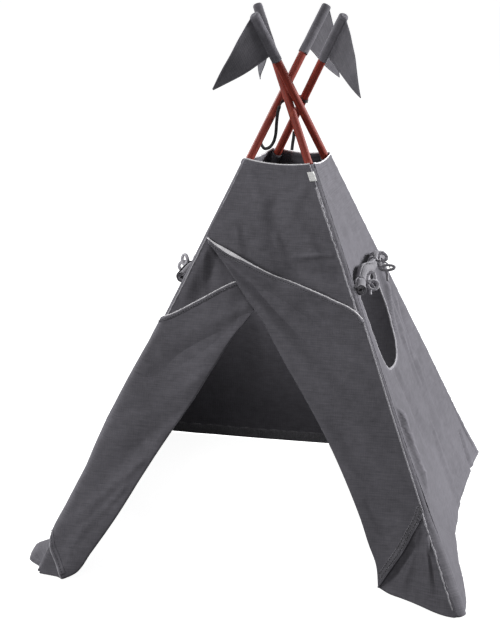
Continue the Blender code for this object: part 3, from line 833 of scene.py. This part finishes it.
def add_side_wall(face):
    body = side_of(face)
    wrap, end = 0.004, 0.01      # metres round each pole, and the same in s before scaling
    s = np.concatenate(([-end, -end / 2], np.linspace(0, 1, 110), [1 + end / 2, 1 + end]))
    grid_s, grid_k = np.meshgrid(s, COLLAR * (1 - np.linspace(0, 1, 130)))
    inner = np.clip(grid_s, 0, 1)
    grid_s = inner + (grid_s - inner) / end * wrap / width_at(face, grid_k)
    grid_k = grid_k + hem_share(face, grid_s) * smooth(1 - grid_k / 0.4)
    grid_k = grid_k - 0.004 * slack(grid_s) * smooth((grid_k - COLLAR + 0.1) / 0.1)
    place = pair(grid_s, grid_k)
    outline = drawn(WINDOW, 80)
    if face == "left":
        outline = np.array((1, 0)) + outline[::-1] * np.array((-1, 1))
    scale = np.array((float(width_at(face, np.array(0.5))), SLOPE))
    inside = inside_of(outline, (place[:-1, :-1] + place[1:, 1:]) / 2)
    # places on the hole's rim move exactly onto the outline
    padded = np.pad(inside, 1)
    cells = np.stack([padded[i:i + len(place), j:j + len(s)] for i in (0, 1) for j in (0, 1)])
    rim = cells.any(axis=0) & ~cells.all(axis=0)
    closed = np.concatenate((outline, outline[:1]))
    place[rim] = nearest_on(closed * scale, place[rim] * scale) / scale
    item = grid_piece(f"wall_{face}", cloth(face, place), pattern(face, place), CANVAS,
                      keep=~inside)
    settle(item, body, "side_wall_" + face)
    # the window tape takes the lighter seam canvas: fuzz and painted highlight
    edge_band(f"window_tape_{face}", face, outline, 0.0, 0.0075, 0.004, SEAM_FUZZ_AND_HIGHLIGHT, body,
              "window_binding_" + face)
    hem_s = np.linspace(-0.004, 1.004, 40)
    hem = pair(hem_s, hem_share(face, hem_s) + 0.004)
    edge_band(f"hem_{face}", face, hem, 0.0, 0.016, 0.0034, CANVAS, body)
    add_collar(face, 0.0, body, "collar_side_" + face)


def add_collar(face, lift, body, *nodes):
    """The bound top edge of a wall, slightly slack between the poles."""
    s = np.linspace(-0.03, 1.03, 24)
    name, edge = "collar_band_" + face, COLLAR - 0.0058 * slack(s)
    edge_band(name, face, pair(s, edge - 0.005), lift, 0.015, 0.0044, CANVAS, body, *nodes,
              step=0.004)
    # the rim along the very top is painted near-white as a highlight
    edge_band(name + "_rim", face, pair(s, edge + 0.0006), lift, 0.0042, 0.0048, PAINTED_HIGHLIGHT_EDGE, body,
              step=0.004)


for face in ("right", "left"):
    add_side_wall(face)


# ---- back wall
MIDDLE = 0.03            # half the width over which a folding wall bends


def middle_bend(face, left, right):
    """Where a folding wall bends: about its middle, from its left body to its right one."""
    start, point, end = (wall(face, np.array(s), np.array(0.5)) for s in (0.0, 0.5, 1.0))
    across = unit(end - start) * (1 if face == "front" else -1)
    return (left, right, tuple(point - across * MIDDLE), tuple(point + across * MIDDLE))


def add_back_wall():
    body = middle_bend("back", "back_left", "back_right")
    bottom_s = np.linspace(-0.004, 1.004, 12)
    bottom = pair(bottom_s, hem_share("back", bottom_s))
    top = [(-0.02, COLLAR), (0.5, COLLAR - 0.006), (1.02, COLLAR)]
    left = [(-0.02, COLLAR), (-0.004, 0.4), tuple(bottom[0])]
    right = [(1.02, COLLAR), (1.004, 0.4), tuple(bottom[-1])]
    place = coons(top, bottom, left, right, edged(84, 0.012, 3), np.linspace(0, 1, 104))
    item = grid_piece("wall_back", cloth("back", place), pattern("back", place), CANVAS)
    settle(item, body, "back_wall_left", "back_wall_right")
    hem = pair(bottom_s, hem_share("back", bottom_s) + 0.0185)
    edge_band("hem_back", "back", hem, 0.0, 0.05, 0.0034, FUZZY, body)
    add_collar("back", 0.0, body, "collar_back_left", "collar_back_right")


add_back_wall()


# ---- front: two layers, two flaps
OUTER_FOLD = [(-0.01, 0.697), (0.019, 0.688), (0.066, 0.677), (0.122, 0.664), (0.285, 0.618),
              (0.401, 0.572), (0.482, 0.538), (0.607, 0.451), (0.687, 0.382), (0.756, 0.298),
              (0.797, 0.218), (0.818, 0.154), (0.826, 0.106), (0.834, 0.07), (0.827, 0.024)]
OUTER_EDGE = [(0.004, 0.6945), (0.079, 0.6835), (0.144, 0.6754), (0.214, 0.6663), (0.29, 0.6571),
              (0.357, 0.6489), (0.43, 0.6398), (0.541, 0.6262), (0.659, 0.615), (0.76, 0.6025),
              (0.843, 0.592), (0.91, 0.582), (0.967, 0.573), (1.002, 0.562), (1.02, 0.548)]
INNER_FOLD = [(0.475, 0.604), (0.425, 0.553), (0.341, 0.488), (0.304, 0.445), (0.248, 0.365),
              (0.207, 0.302), (0.163, 0.212), (0.129, 0.111), (0.106, 0.045), (0.091, 0.003),
              (0.064, -0.012)]
INNER_EDGE = [(-0.055, 0.52), (-0.002, 0.532), (0.124, 0.568), (0.239, 0.598), (0.315, 0.612),
              (0.475, 0.604)]
OUTER_LEVEL = 0.0055     # from the innermost layer to the outer one
# how far the left flap stands out beside the pole, as (share, metres)
LEFT_BULGE = ((0.0, 0.006), (0.065, 0.004), (0.088, 0.01), (0.133, 0.006), (0.209, 0.004),
              (0.309, 0.014), (0.396, 0.0115), (0.47, 0.004), (0.53, 0.002))
# soft folds that spread from where the cloth is held
RIGHT_FLAP_CREASES = (
    ((0.06, 0.675), (0.9, 0.47), 0.034, -0.013), ((0.08, 0.668), (0.86, 0.33), 0.036, 0.01),
    ((0.3, 0.6), (0.92, 0.21), 0.034, -0.008), ((0.62, 0.59), (0.98, 0.48), 0.024, 0.007),
    ((0.78, 0.26), (0.94, 0.17), 0.022, 0.006), ((0.84, 0.2), (0.9, 0.07), 0.018, -0.005),
)
LEFT_FLAP_CREASES = (
    ((0.44, 0.57), (0.02, 0.47), 0.03, 0.008), ((0.36, 0.52), (-0.01, 0.38), 0.03, -0.008),
    ((0.3, 0.44), (0.0, 0.25), 0.034, 0.006), ((0.16, 0.25), (0.0, 0.075), 0.02, 0.0045),
    ((0.13, 0.19), (0.03, 0.03), 0.016, 0.004), ((0.24, 0.36), (0.02, 0.16), 0.024, -0.0045),
)
# folds that spread over the triangle below the turned-back hem
TRIANGLE_CREASES = (
    ((0.995, 0.15), (0.89, 0.0), 0.016, -0.01), ((1.0, 0.14), (0.945, 0.0), 0.012, 0.008),
    ((0.985, 0.11), (0.975, 0.0), 0.01, -0.006), ((0.96, 0.12), (0.86, 0.03), 0.016, -0.012),
)
# metres from the edge to the rows of a narrow turned edge
EDGE_ROWS = (0.0015, 0.005, 0.009, 0.012)
INNER_CREASES = (
    ((0.03, 0.69), (0.22, 0.6), 0.016, 0.005), ((0.02, 0.67), (0.14, 0.56), 0.014, 0.005),
    ((0.05, 0.69), (0.34, 0.61), 0.016, 0.004),
)


def layered(place, lift, folds=()):
    """Cloth of the front wall, lift above the innermost layer."""
    s, k = place[..., 0], place[..., 1]
    out = hang("front", s, k) + lift
    for fold in folds:
        out = out + crease("front", s, k, *fold, 0.3)
    return spread(wall("front", s, k, out))


def flat_distance(place, outline, count=120):
    """Metres along the front wall from each place to a curve through some places."""
    outline, place = pattern("front", drawn(outline, count)), pattern("front", place)
    return np.linalg.norm(place - nearest_on(outline, place), axis=-1)


def hinge_bend(joint_name, parent, child, towards, fold):
    """Where a turned-back flap bends: just beyond all of its fold, square to the joint's axis."""
    joint = JOINTS[joint_name]
    origin, axis = np.array(joint["pos_m"]), unit(np.array(joint["axis"]))
    toward = np.array(towards) - origin
    square = unit(toward - axis * (toward @ axis))
    near = float(((fold - origin) @ square).max()) + 0.006
    return (parent, child, tuple(origin + square * near), tuple(origin + square * (near + 0.045)))


def add_front():
    body = middle_bend("front", "front_left", "front_right")
    # outer layer: everything above the door and right of it
    bottom_s = np.linspace(OUTER_FOLD[-1][0], 1.006, 8)
    bottom = [OUTER_FOLD[-1]] + [(s, float(hem_share("front", s))) for s in bottom_s[1:]]
    top = [(-0.02, COLLAR), (0.25, COLLAR - 0.0045), (0.5, COLLAR - 0.006),
           (0.75, COLLAR - 0.0045), (1.02, COLLAR)]
    left = [(-0.02, COLLAR), (-0.012, 0.78)] + OUTER_FOLD
    right = [(1.02, COLLAR), (1.008, 0.55), (1.004, 0.25), bottom[-1]]
    place = coons(top, bottom, left, right, edged(96, 0.012, 3), np.linspace(0, 1, 150))
    places = layered(place, OUTER_LEVEL, TRIANGLE_CREASES)
    settle(grid_piece("front_outer", places, pattern("front", place), CANVAS), body,
           "yoke_left", "door_panel_right")
    add_collar("front", OUTER_LEVEL, body, "collar_front_left", "collar_front_right")
    # the corner seam stands up along the outer layer's right side
    seam_k = np.linspace(COLLAR - 0.048, 0.001, 200)
    seam_place = pair(1.0 + 0.001 / width_at("front", seam_k), seam_k)
    line = resample(layered(seam_place, OUTER_LEVEL + 0.001), 0.004)
    facing = face_normals("front", seam_place)[
        np.linspace(0, len(seam_k) - 1, len(line)).astype(int)]
    add_ridge("front_seam", line, facing, np.cross(facing, (0.0, 0.0, 1.0)),
              (0.0018, 0.009, 4.1), (0.0022, 0.013, 6.3), 0.6, 0.005, body)
    # inner layer: left of the door, up to the crossing of the two layers
    low_s = np.linspace(-0.004, INNER_FOLD[-1][0], 6)
    bottom = [(s, float(hem_share("front", s))) for s in low_s[:-1]] + [INNER_FOLD[-1]]
    place = coons([(-0.012, 0.745), INNER_FOLD[0]], bottom,
                  [(-0.012, 0.745), (-0.008, 0.4), bottom[0]], INNER_FOLD,
                  edged(60, 0.012, 3), np.linspace(0, 1, 110))
    set_back = smooth((place[..., 1] - 0.53) / 0.06) * smooth((place[..., 0] - 0.02) / 0.1)
    places = layered(place, -0.028 * set_back, INNER_CREASES)
    settle(grid_piece("front_inner", places, pattern("front", place), CANVAS), "front_left",
           "door_panel_left")
    add_right_flap()
    add_left_flap()


def fold_roll(distance, level):
    """How a turned-back layer rises out of its fold and then lies on the layer below."""
    gap, puff = 0.005, 0.004
    rise = np.clip(distance / gap, 0, 1)
    return level + gap * np.sqrt(np.clip(1 - (1 - rise) ** 2, 0, 1)) \
        + puff * bell(distance - 0.022, 0.022)


def edge_piece(name, line, normal, width, height, material, body, opening=None):
    """The rolled edge of a layer. It opens where opening says (share of the way, reach, factor)."""
    path = resample(line, 0.005)
    normals = repeated(normal, path)
    path = puckered(path, normals, 0.0008, 0.014, len(name) * 0.7)
    section = repeated(oval(width, height, 12), path)
    if opening:
        at, reach, factor = opening
        section[..., 0] *= (1 + factor * bell(np.linspace(0, 1, len(path)) - at, reach))[:, None]
    settle(sweep(name, path, normals, section, material), body)


def parallel(places, gap, distance):
    """The line across a grid where gap, which grows from row to row, reaches distance."""
    line = []
    for column in range(places.shape[1]):
        row = float(np.interp(distance, gap[:, column], np.arange(len(gap))))
        low = min(int(row), len(gap) - 2)
        line.append(places[low, column] * (low + 1 - row) + places[low + 1, column] * (row - low))
    return np.array(line)


def hem_band(name, places, gap, distances, columns, material, body, rows, turned_over=False):
    """A turned and stitched hem that lies along one side of a layer, with its stitch rows."""
    normals = grid_normals(places)
    if turned_over:
        places, normals, gap = places[::-1], normals[::-1], gap[::-1]
    lines, facing = (np.array([parallel(grid, gap, distance)[columns] for distance in distances])
                     for grid in (places, normals))
    facing = unit(facing)
    band = lines + facing * 0.0017
    rough = ripple(pair(band[..., 0] * 70, band[..., 1] * 70 + band[..., 2] * 70), 1.0, 6.0)
    band = band + facing * (rough * 0.0011)[..., None]
    settle(grid_piece(name, band, metres(band), material), body)
    for label, row in zip("ab", rows):
        # the stitch rows are near-black, a painted shadow of the stitch holes
        stitches(f"{name}_stitch_{label}", (band + facing * 0.0013)[row], facing[row],
                 PAINTED_SHADOW_THREAD, body, pitch=0.0085, share=0.66, size=0.003)


def grid_normals(places):
    across, down = np.gradient(places, axis=1), np.gradient(places, axis=0)
    return unit(np.cross(down, across))


def add_flap(side, place, places, fold, beyond):
    """A turned-back door layer, folded at its fold. Returns the bodies and span of its fold's
    hinge; the flap is not attached to them.
    """
    flap = grid_piece("flap_" + side, places, pattern("front", place), CANVAS)
    body = hinge_bend(f"door_flap_{side}_turn", "front_" + side, "door_flap_" + side,
                      beyond, fold)
    settle(flap, body, "door_flap_" + side)
    return body


def add_right_flap():
    u = np.concatenate(([0, 0.002, 0.004, 0.007, 0.01, 0.014, 0.02], np.linspace(0.03, 1, 96)))
    fold = [OUTER_EDGE[0]] + OUTER_FOLD[1:]
    hem = [fold[-1], (0.868, 0.06), (0.915, 0.098), (0.955, 0.134), (0.99, 0.164), (1.004, 0.179)]
    right = [OUTER_EDGE[-1], (1.01, 0.4), hem[-1]]
    place = coons(OUTER_EDGE, hem, fold, right, u, edged(120, 0.012, 3))
    distance, edge, low = (flat_distance(place, line) for line in (fold, OUTER_EDGE, hem))
    s, k = place[..., 0], place[..., 1]
    belly = 0.021 * smooth(s / 0.15) * smooth((1 - s) / 0.25) * bell(edge, 0.05) * smooth(k / 0.2)
    belly = belly + 0.009 * bell(low, 0.05) * smooth((0.99 - s) / 0.1)
    lift = fold_roll(distance, OUTER_LEVEL) + belly * smooth(distance / 0.05)
    places = layered(place, lift, RIGHT_FLAP_CREASES)
    body = add_flap("right", place, places, places[:, 0], places[60, 60])
    normals = grid_normals(places)
    # the free edge is painted near-white as a highlight
    edge_piece("flap_right_edge", places[0], normals[2].mean(axis=0), 0.0046, 0.004, PAINTED_HIGHLIGHT_EDGE,
               body, opening=(0.17, 0.1, 1.5))
    edge_piece("flap_right_hem", places[-1], normals[-3].mean(axis=0), 0.005, 0.004, CANVAS, body)
    # the side edge takes the lighter seam canvas: fuzz and painted highlight
    edge_piece("flap_right_side", places[:, -1], normals[:, -3].mean(axis=0), 0.0046, 0.0046, SEAM_FUZZ_AND_HIGHLIGHT,
               body)
    hem_band("flap_right_band", places, low, (0.001, 0.004, 0.007, 0.011, 0.015, 0.018, 0.021),
             slice(10, None), HEM_BAND, body, (2, 5), turned_over=True)
    hem_band("flap_right_edge_band", places, edge, EDGE_ROWS, slice(4, None), CANVAS, body, (2,))


def add_left_flap():
    u = np.concatenate((np.linspace(0, 0.97, 80),
                        [0.978, 0.984, 0.989, 0.993, 0.996, 0.998, 1.0]))
    hem = [(-0.03, 0.07), (-0.004, 0.046), (0.032, 0.017), INNER_FOLD[-1]]
    left = [INNER_EDGE[0], (-0.047, 0.396), (-0.038, 0.209), hem[0]]
    place = coons(INNER_EDGE, hem, left, INNER_FOLD, u, edged(120, 0.012, 3))
    s, k = place[..., 0], place[..., 1]
    near_pole = smooth(1 - np.maximum(s, 0) * width_at("front", k) / 0.12)
    bulge = np.interp(k, *zip(*LEFT_BULGE)) * near_pole
    # the end that lies under the outer layer is tucked flat
    tucked = smooth((s - 0.27) / 0.1) * smooth((k - 0.5) / 0.06)
    roll = fold_roll(flat_distance(place, INNER_FOLD), 0.0)
    places = layered(place, (roll + bulge) * (1 - tucked) - 0.008 * tucked, LEFT_FLAP_CREASES)
    body = add_flap("left", place, places, places[:, -1], places[60, 30])
    normals = grid_normals(places)
    # the free edge is painted near-white as a highlight
    # the hem takes the lighter seam canvas: fuzz and painted highlight
    for label, row, width, look in (("edge", 0, 0.0044, PAINTED_HIGHLIGHT_EDGE), ("hem", -1, 0.0046, SEAM_FUZZ_AND_HIGHLIGHT)):
        edge_piece("flap_left_" + label, places[row], normals[row].mean(axis=0), width, 0.004,
                   look, body)
    hem_band("flap_left_edge_band", places, flat_distance(place, INNER_EDGE), EDGE_ROWS,
             slice(2, -4), CANVAS, body, (2,))
    hem_band("flap_left_band", places, flat_distance(place, hem, 60),
             (0.001, 0.005, 0.009, 0.014, 0.019), slice(2, -12), CANVAS, body, (2,),
             turned_over=True)


add_front()


# ---- rolled window blinds
def add_blind(face):
    """The blind, rolled up above its window: a spiral of cloth with soft lumps."""
    body = side_of(face)
    s = np.linspace(0.012, 0.92, 90)
    t = (s - s[0]) / (s[-1] - s[0])
    droop = 0.0 if face == "right" else 0.024
    k = 0.603 - droop * (1 - t) ** 2 + 0.006 * np.sin(t * math.pi) + 0.004 * np.sin(t * 17.0)
    out = 0.013 + 0.006 * t + 0.003 * np.sin(t * 9.0 + 1.0)
    if face == "left":
        s, k, out = s[::-1], k[::-1], out[::-1]
    path = wall(face, s, k, hang(face, s, k) * 0.6 + out)
    tangent = unit(np.gradient(path, axis=0))
    normal = unit(np.cross((0, 0, 1.0), tangent))
    up = np.cross(tangent, normal)
    angle = np.linspace(0, BLIND_TURNS * math.tau, 88)
    ring = 0.0045 + 0.0145 * angle / angle[-1]
    ties = {"front": 0.24, "back": 0.76}
    grip = 1 - sum(0.34 * bell(t - share, 0.035) for share in ties.values())
    lumps = np.stack(np.meshgrid(t * 9, angle * 0.35, indexing="ij"), axis=-1)
    radius = ring[None] * grip[:, None] * (1 + 0.16 * ripple(lumps, 1.0, 4.0))
    places = path[:, None] + turned(normal[:, None], up[:, None],
                                    angle[None] + (t * 2.2)[:, None]) * radius[..., None]
    item = grid_piece("blind_roll_" + face, places, metres(places), BLIND, thickness=0.0012)
    settle(item, body, "window_blind_" + face)
    for label, share in ties.items():
        i = int(share * (len(path) - 1))
        along = tangent[i] if face == "right" else -tangent[i]
        add_bow(f"bow_{face}_{label}", path[i], along, up[i], normal[i], body,
                f"blind_tie_{face}_{label}", label)


BLIND_TURNS = 3.1
# (name, way along the roll, middle and half size of the loop as (out, up) from the roll's axis)
BOW_LOOPS = {"front": (("a", -1, (0.036, -0.006), (0.015, 0.014)),
                       ("b", 1, (0.03, 0.016), (0.01, 0.015))),
             "back": (("a", -1, (0.046, -0.014), (0.022, 0.009)),
                      ("b", 1, (0.03, 0.014), (0.012, 0.012)))}
# (name, way along the roll, place of the end's tip as out and up)
BOW_ENDS = {"front": (("a", -1, 0.03, -0.034), ("b", 1, 0.04, -0.026)),
            "back": (("a", -1, 0.048, -0.058), ("b", 1, 0.052, -0.03))}


def add_bow(name, centre, along, up, normal, body, node, shape):
    """A tie round the roll, with a bow's two loops and two ends that stand out from it."""
    outward = normal if normal @ centre > 0 else -normal

    def place(a, b, c):
        return centre + along * a + up * b + outward * c

    band = [place(0.001 * math.sin(a), 0.016 * math.sin(a), 0.016 * math.cos(a))
            for a in np.linspace(0, math.tau, 15)]
    knot = [place(0.0, 0.002 + 0.0065 * math.sin(a), 0.0195 + 0.0055 * math.cos(a))
            for a in np.linspace(0, math.tau, 12)]
    strips = [("band", band, 0.011, outward, 0.0), ("knot", knot, 0.009, outward, 0.0)]
    for label, way, (middle_out, middle_up), (half_out, half_up) in BOW_LOOPS[shape]:
        loop = [place(way * (0.01 - 0.006 * math.cos(a)), middle_up + half_up * math.sin(a),
                      middle_out + half_out * math.cos(a))
                for a in np.radians(np.linspace(150, -150, 13))]
        loop = [place(0, 0.003, 0.019), *loop, place(0, 0.001, 0.019)]
        strips.append(("loop_" + label, loop, 0.0105, along + up * 0.3, 0.0))
    for label, way, out, rise in BOW_ENDS[shape]:
        end = [place(0, 0.001, 0.02), place(way * 0.006, rise * 0.15 + 0.003, out * 0.55),
               place(way * 0.011, rise * 0.5, out * 0.92), place(way * 0.014, rise, out)]
        strips.append(("end_" + label, end, 0.0085, along + outward * 0.4, 0.7 * way))
    for label, route, width, facing, twist in strips:
        # the ties take the lighter canvas copy, which paints the light on them
        piece, _ = ribbon(f"{name}_{label}", route, LIGHT_PAINTED_CANVAS, width, 0.0012, facing, twist)
        settle(piece, body, *((node,) if label == "band" else ()))


for face in ("right", "left"):
    add_blind(face)


# ---- flags
FLAG_LENGTH, FLAG_REACH, FLAG_POINT = 0.165, 0.222, 0.118
FLAG_TURN = {"front_left": 14.0, "front_right": -20.0, "back_right": -9.0, "back_left": -7.0}
# how far the point hangs down along the pole, beyond the cut's own shape
FLAG_DROOP = {"front_left": 0.026, "front_right": 0.045, "back_right": -0.002, "back_left": 0.004}


def add_flag(corner):
    """A sleeve over the pole's tip and the pennant sewn to it."""
    _, axis, tip = POLES[corner]
    down = np.array((0, 0, -1.0))
    down = unit(down - axis * (down @ axis))
    turn = math.radians(FLAG_TURN[corner])
    below = turned(down, np.cross(axis, down), turn)
    side = turned(np.cross(axis, down), -down, turn)
    body = "flag_" + corner
    seed = float(CORNERS.index(corner)) + 11.0
    # sleeve: a tube with a rounded, sewn-shut top
    d = np.concatenate(([-0.0022, -0.0018, -0.0005, 0.002, 0.006],
                        np.linspace(0.012, FLAG_LENGTH, 34)))
    shrink = np.concatenate(([0.12, 0.55, 0.86, 0.97, 1.0], np.ones(34)))[:, None]
    grid_d, grid_a = np.meshgrid(d, np.arange(28) / 28 * math.tau, indexing="ij")
    where = np.stack((grid_d * 40, np.cos(grid_a), np.sin(grid_a)), axis=-1)
    radius = 0.0144 * shrink * (1 + 0.035 * ripple(where, 1.0, seed))
    pinch = bell(np.minimum(grid_a, math.tau - grid_a), 0.35) * 0.0035 * shrink
    places = tip - axis * grid_d[..., None] \
        + turned(below, side, grid_a) * (radius + pinch)[..., None]
    item = grid_piece("flag_sock_" + corner, places, pair(grid_a * 0.0145, grid_d), CANVAS,
                      thickness=0.0009, closed=True)
    settle(item, body, "flag_sleeve_" + corner)
    # pennant: two layers sewn along the edges, a little wavy
    b = np.concatenate((np.linspace(0, 0.94, 46), [0.96, 0.975, 0.988, 0.997]))
    grid_a, grid_b = np.meshgrid(edged(34, 0.03, 2), b, indexing="ij")
    flat = pair(0.003 + grid_a * (FLAG_LENGTH - 0.03), np.full_like(grid_a, 0.015))
    point = np.array((FLAG_POINT + FLAG_DROOP[corner], FLAG_REACH - 0.001))
    flat = flat + (point - flat) * grid_b[..., None]
    edge_dip = 0.006 * np.sin(math.pi * grid_b) * (grid_a - 0.5) * -2
    wave = 0.006 * np.sin(grid_b * 4.2 + seed) * grid_b * (1 - 0.3 * grid_a) \
        + 0.0045 * ripple(flat, (26, 10), seed) * smooth(grid_b / 0.15)
    places = tip - axis * (flat[..., 0] - edge_dip)[..., None] + below * flat[..., 1:2] \
        + side * wave[..., None]
    item = grid_piece("pennant_" + corner, places, metres(places), PENNANT, thickness=0.0016)
    settle(item, body, "flag_" + corner)
    for label, row in (("top", 0), ("low", -1)):
        path = resample(places[row], 0.005)
        settle(sweep(f"pennant_{label}_{corner}", path, repeated(side, path),
                     oval(0.004, 0.0032, 8), PENNANT), body)
    line = tip - axis * np.linspace(0.004, FLAG_LENGTH - 0.028, 60)[:, None] + below * 0.019 \
        + side * 0.0012
    stitches("flag_seam_" + corner, line, repeated(side, line), THREAD, body)


for corner in CORNERS:
    add_flag(corner)


# ---- lashing and label
def add_lashing():
    """Black ribbon wound round a rear pole where they cross; its end comes out in front."""
    height = 1.343
    centre = on_pole("back_left", np.array(height / CROSSING))
    points = []
    for turn in range(2):
        radius = POLE_RADIUS + 0.0016 + 0.0009 * turn
        points.append(np.array((0.006, 0.0145 + 0.001 * turn, height + 0.006 * turn)))
        points += [centre + np.array((math.cos(angle) * radius * 1.05, math.sin(angle) * radius,
                                      0.006 * turn - 0.003 * math.cos(angle)))
                   for angle in np.radians(np.linspace(-110, 110, 11))]
    points += [np.array(p) for p in ((0.004, 0.0125, height + 0.004), (-0.008, 0.0055, 1.341),
                                     (-0.0145, -0.008, 1.338), (-0.016, -0.022, 1.334))]
    points.append(np.array(LONG_TAIL[0]) + np.array((0.0, 0.001, 0.002)))
    path = drawn(points, 260)
    normals = path - (centre + np.array((-0.012, -0.004, 0.0)))
    normals[:, 2] = 0.0
    item = sweep("lashing", path, normals, flat_section(RIBBON / 2, 0.0005), TAPE)
    settle(item, "left_frame", "lashing_ribbon", slot="ribbon")


def add_label():
    """A small blank cloth tag sewn into the corner seam."""
    low, high = (np.array(corner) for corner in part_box("side_label"))
    first, second, axis = corner_axes("front_right")
    facing = unit(first * 1.8 + second * 0.5)
    across = np.cross(axis, facing)
    seam = on_pole("front_right", np.array(((low + high) / 2)[2] / CROSSING))
    a, b = np.meshgrid(np.linspace(-1, 1, 11), np.linspace(-1, 1, 11), indexing="ij")
    stand = WALL_RADIUS + 0.0075 + 0.0012 * np.sin(b * 2.2 + a)
    places = seam + axis * (a * 0.015 - b * 0.002)[..., None] + facing * stand[..., None] \
        + across * (b * 0.01 - 0.008)[..., None]
    item = grid_piece("tag", places, metres(places), LABEL, thickness=0.0012)
    settle(item, "right_frame", "side_label", slot="label")


add_lashing()
add_label()


# ---- light and floor
FLOOR_REACH, ROOM_RADIUS = 58.0, 85.0
# name, place, what it shines at, size, power
LAMPS = (
    ("key_right", (4.5, 1.6, 2.5), (0.1, 0.0, 0.75), 2.0, 470.0),
    ("key_left", (-3.8, 2.2, 2.6), (-0.1, 0.0, 0.6), 2.0, 230.0),
    ("fill_front", (-1.2, -5.6, 1.3), (0.1, 0.0, 0.5), 1.6, 42.0),
    ("side_front", (-3.4, -2.4, 2.7), (0.0, -0.3, 0.7), 0.9, 66.0),
    ("top_front", (-0.5, -1.7, 3.2), (0.0, -0.2, 0.9), 0.9, 13.0),
    ("daylight_through_cloth", (0.0, 0.06, 0.72), (0.05, 0.25, 0.1), 0.2, 1.5),
)


def area_light(name, place, aim, size, power):
    data = bpy.data.lights.new(name, "AREA")
    data.shape, data.size, data.energy = "DISK", size, power
    lamp = link(name, data)
    lamp.location = place
    lamp.rotation_euler = (Vector(aim) - Vector(place)).to_track_quat("-Z", "Y").to_euler()
    lamp.visible_camera = False


def add_studio():
    world = bpy.data.worlds.new("studio")
    world.use_nodes = True
    sky = world.node_tree.nodes["Background"]
    sky.inputs[0].default_value, sky.inputs[1].default_value = WHITE, 0.19
    SCENE.world = world
    for lamp in LAMPS:
        area_light(*lamp)
    mesh = bpy.data.meshes.new("floor")
    mesh.from_pydata([(x * FLOOR_REACH, y * FLOOR_REACH, 0)
                      for x, y in ((-1, -1), (1, -1), (1, 1), (-1, 1))], [], [(0, 1, 2, 3)])
    n = Nodes("floor_paper")
    grain = n.noise(n.add("TexCoord").outputs["Object"], 3.0, 3.0, 0.5)
    n.look(Base_Color=n.mix(n.ramp(grain, 0.3, 0.7), (0.5, 0.5, 0.5, 1.0),
                            (0.52, 0.52, 0.52, 1.0)),
           Roughness=0.9, Emission_Color=WHITE, Emission_Strength=0.9)
    mesh.materials.append(n.material)
    floor = link("floor", mesh)
    floor.visible_diffuse = floor.visible_glossy = False
    # what the floor gives back to the tent, which the camera doesn't see
    under = link("floor_bounce", mesh.copy())
    under.data.materials[0] = Nodes("floor_bounce").look(Base_Color=(0.8, 0.8, 0.8, 1.0))
    under.location.z = -0.0005
    under.visible_camera = False
    # a white room behind everything, which only the camera sees
    bpy.ops.mesh.primitive_uv_sphere_add(segments=48, ring_count=24, radius=ROOM_RADIUS)
    room = bpy.context.object
    room.name = "backdrop"
    room.data.materials.append(Nodes("backdrop_paper").look(
        Base_Color=(0.0, 0.0, 0.0, 1.0), Specular_IOR_Level=0.0, Emission_Color=WHITE,
        Emission_Strength=1.0))
    room.visible_diffuse = room.visible_glossy = room.visible_shadow = False
    room.visible_transmission = room.visible_volume_scatter = False
    SCENE.view_settings.view_transform = "Standard"
    SCENE.view_settings.look = "None"


add_studio()
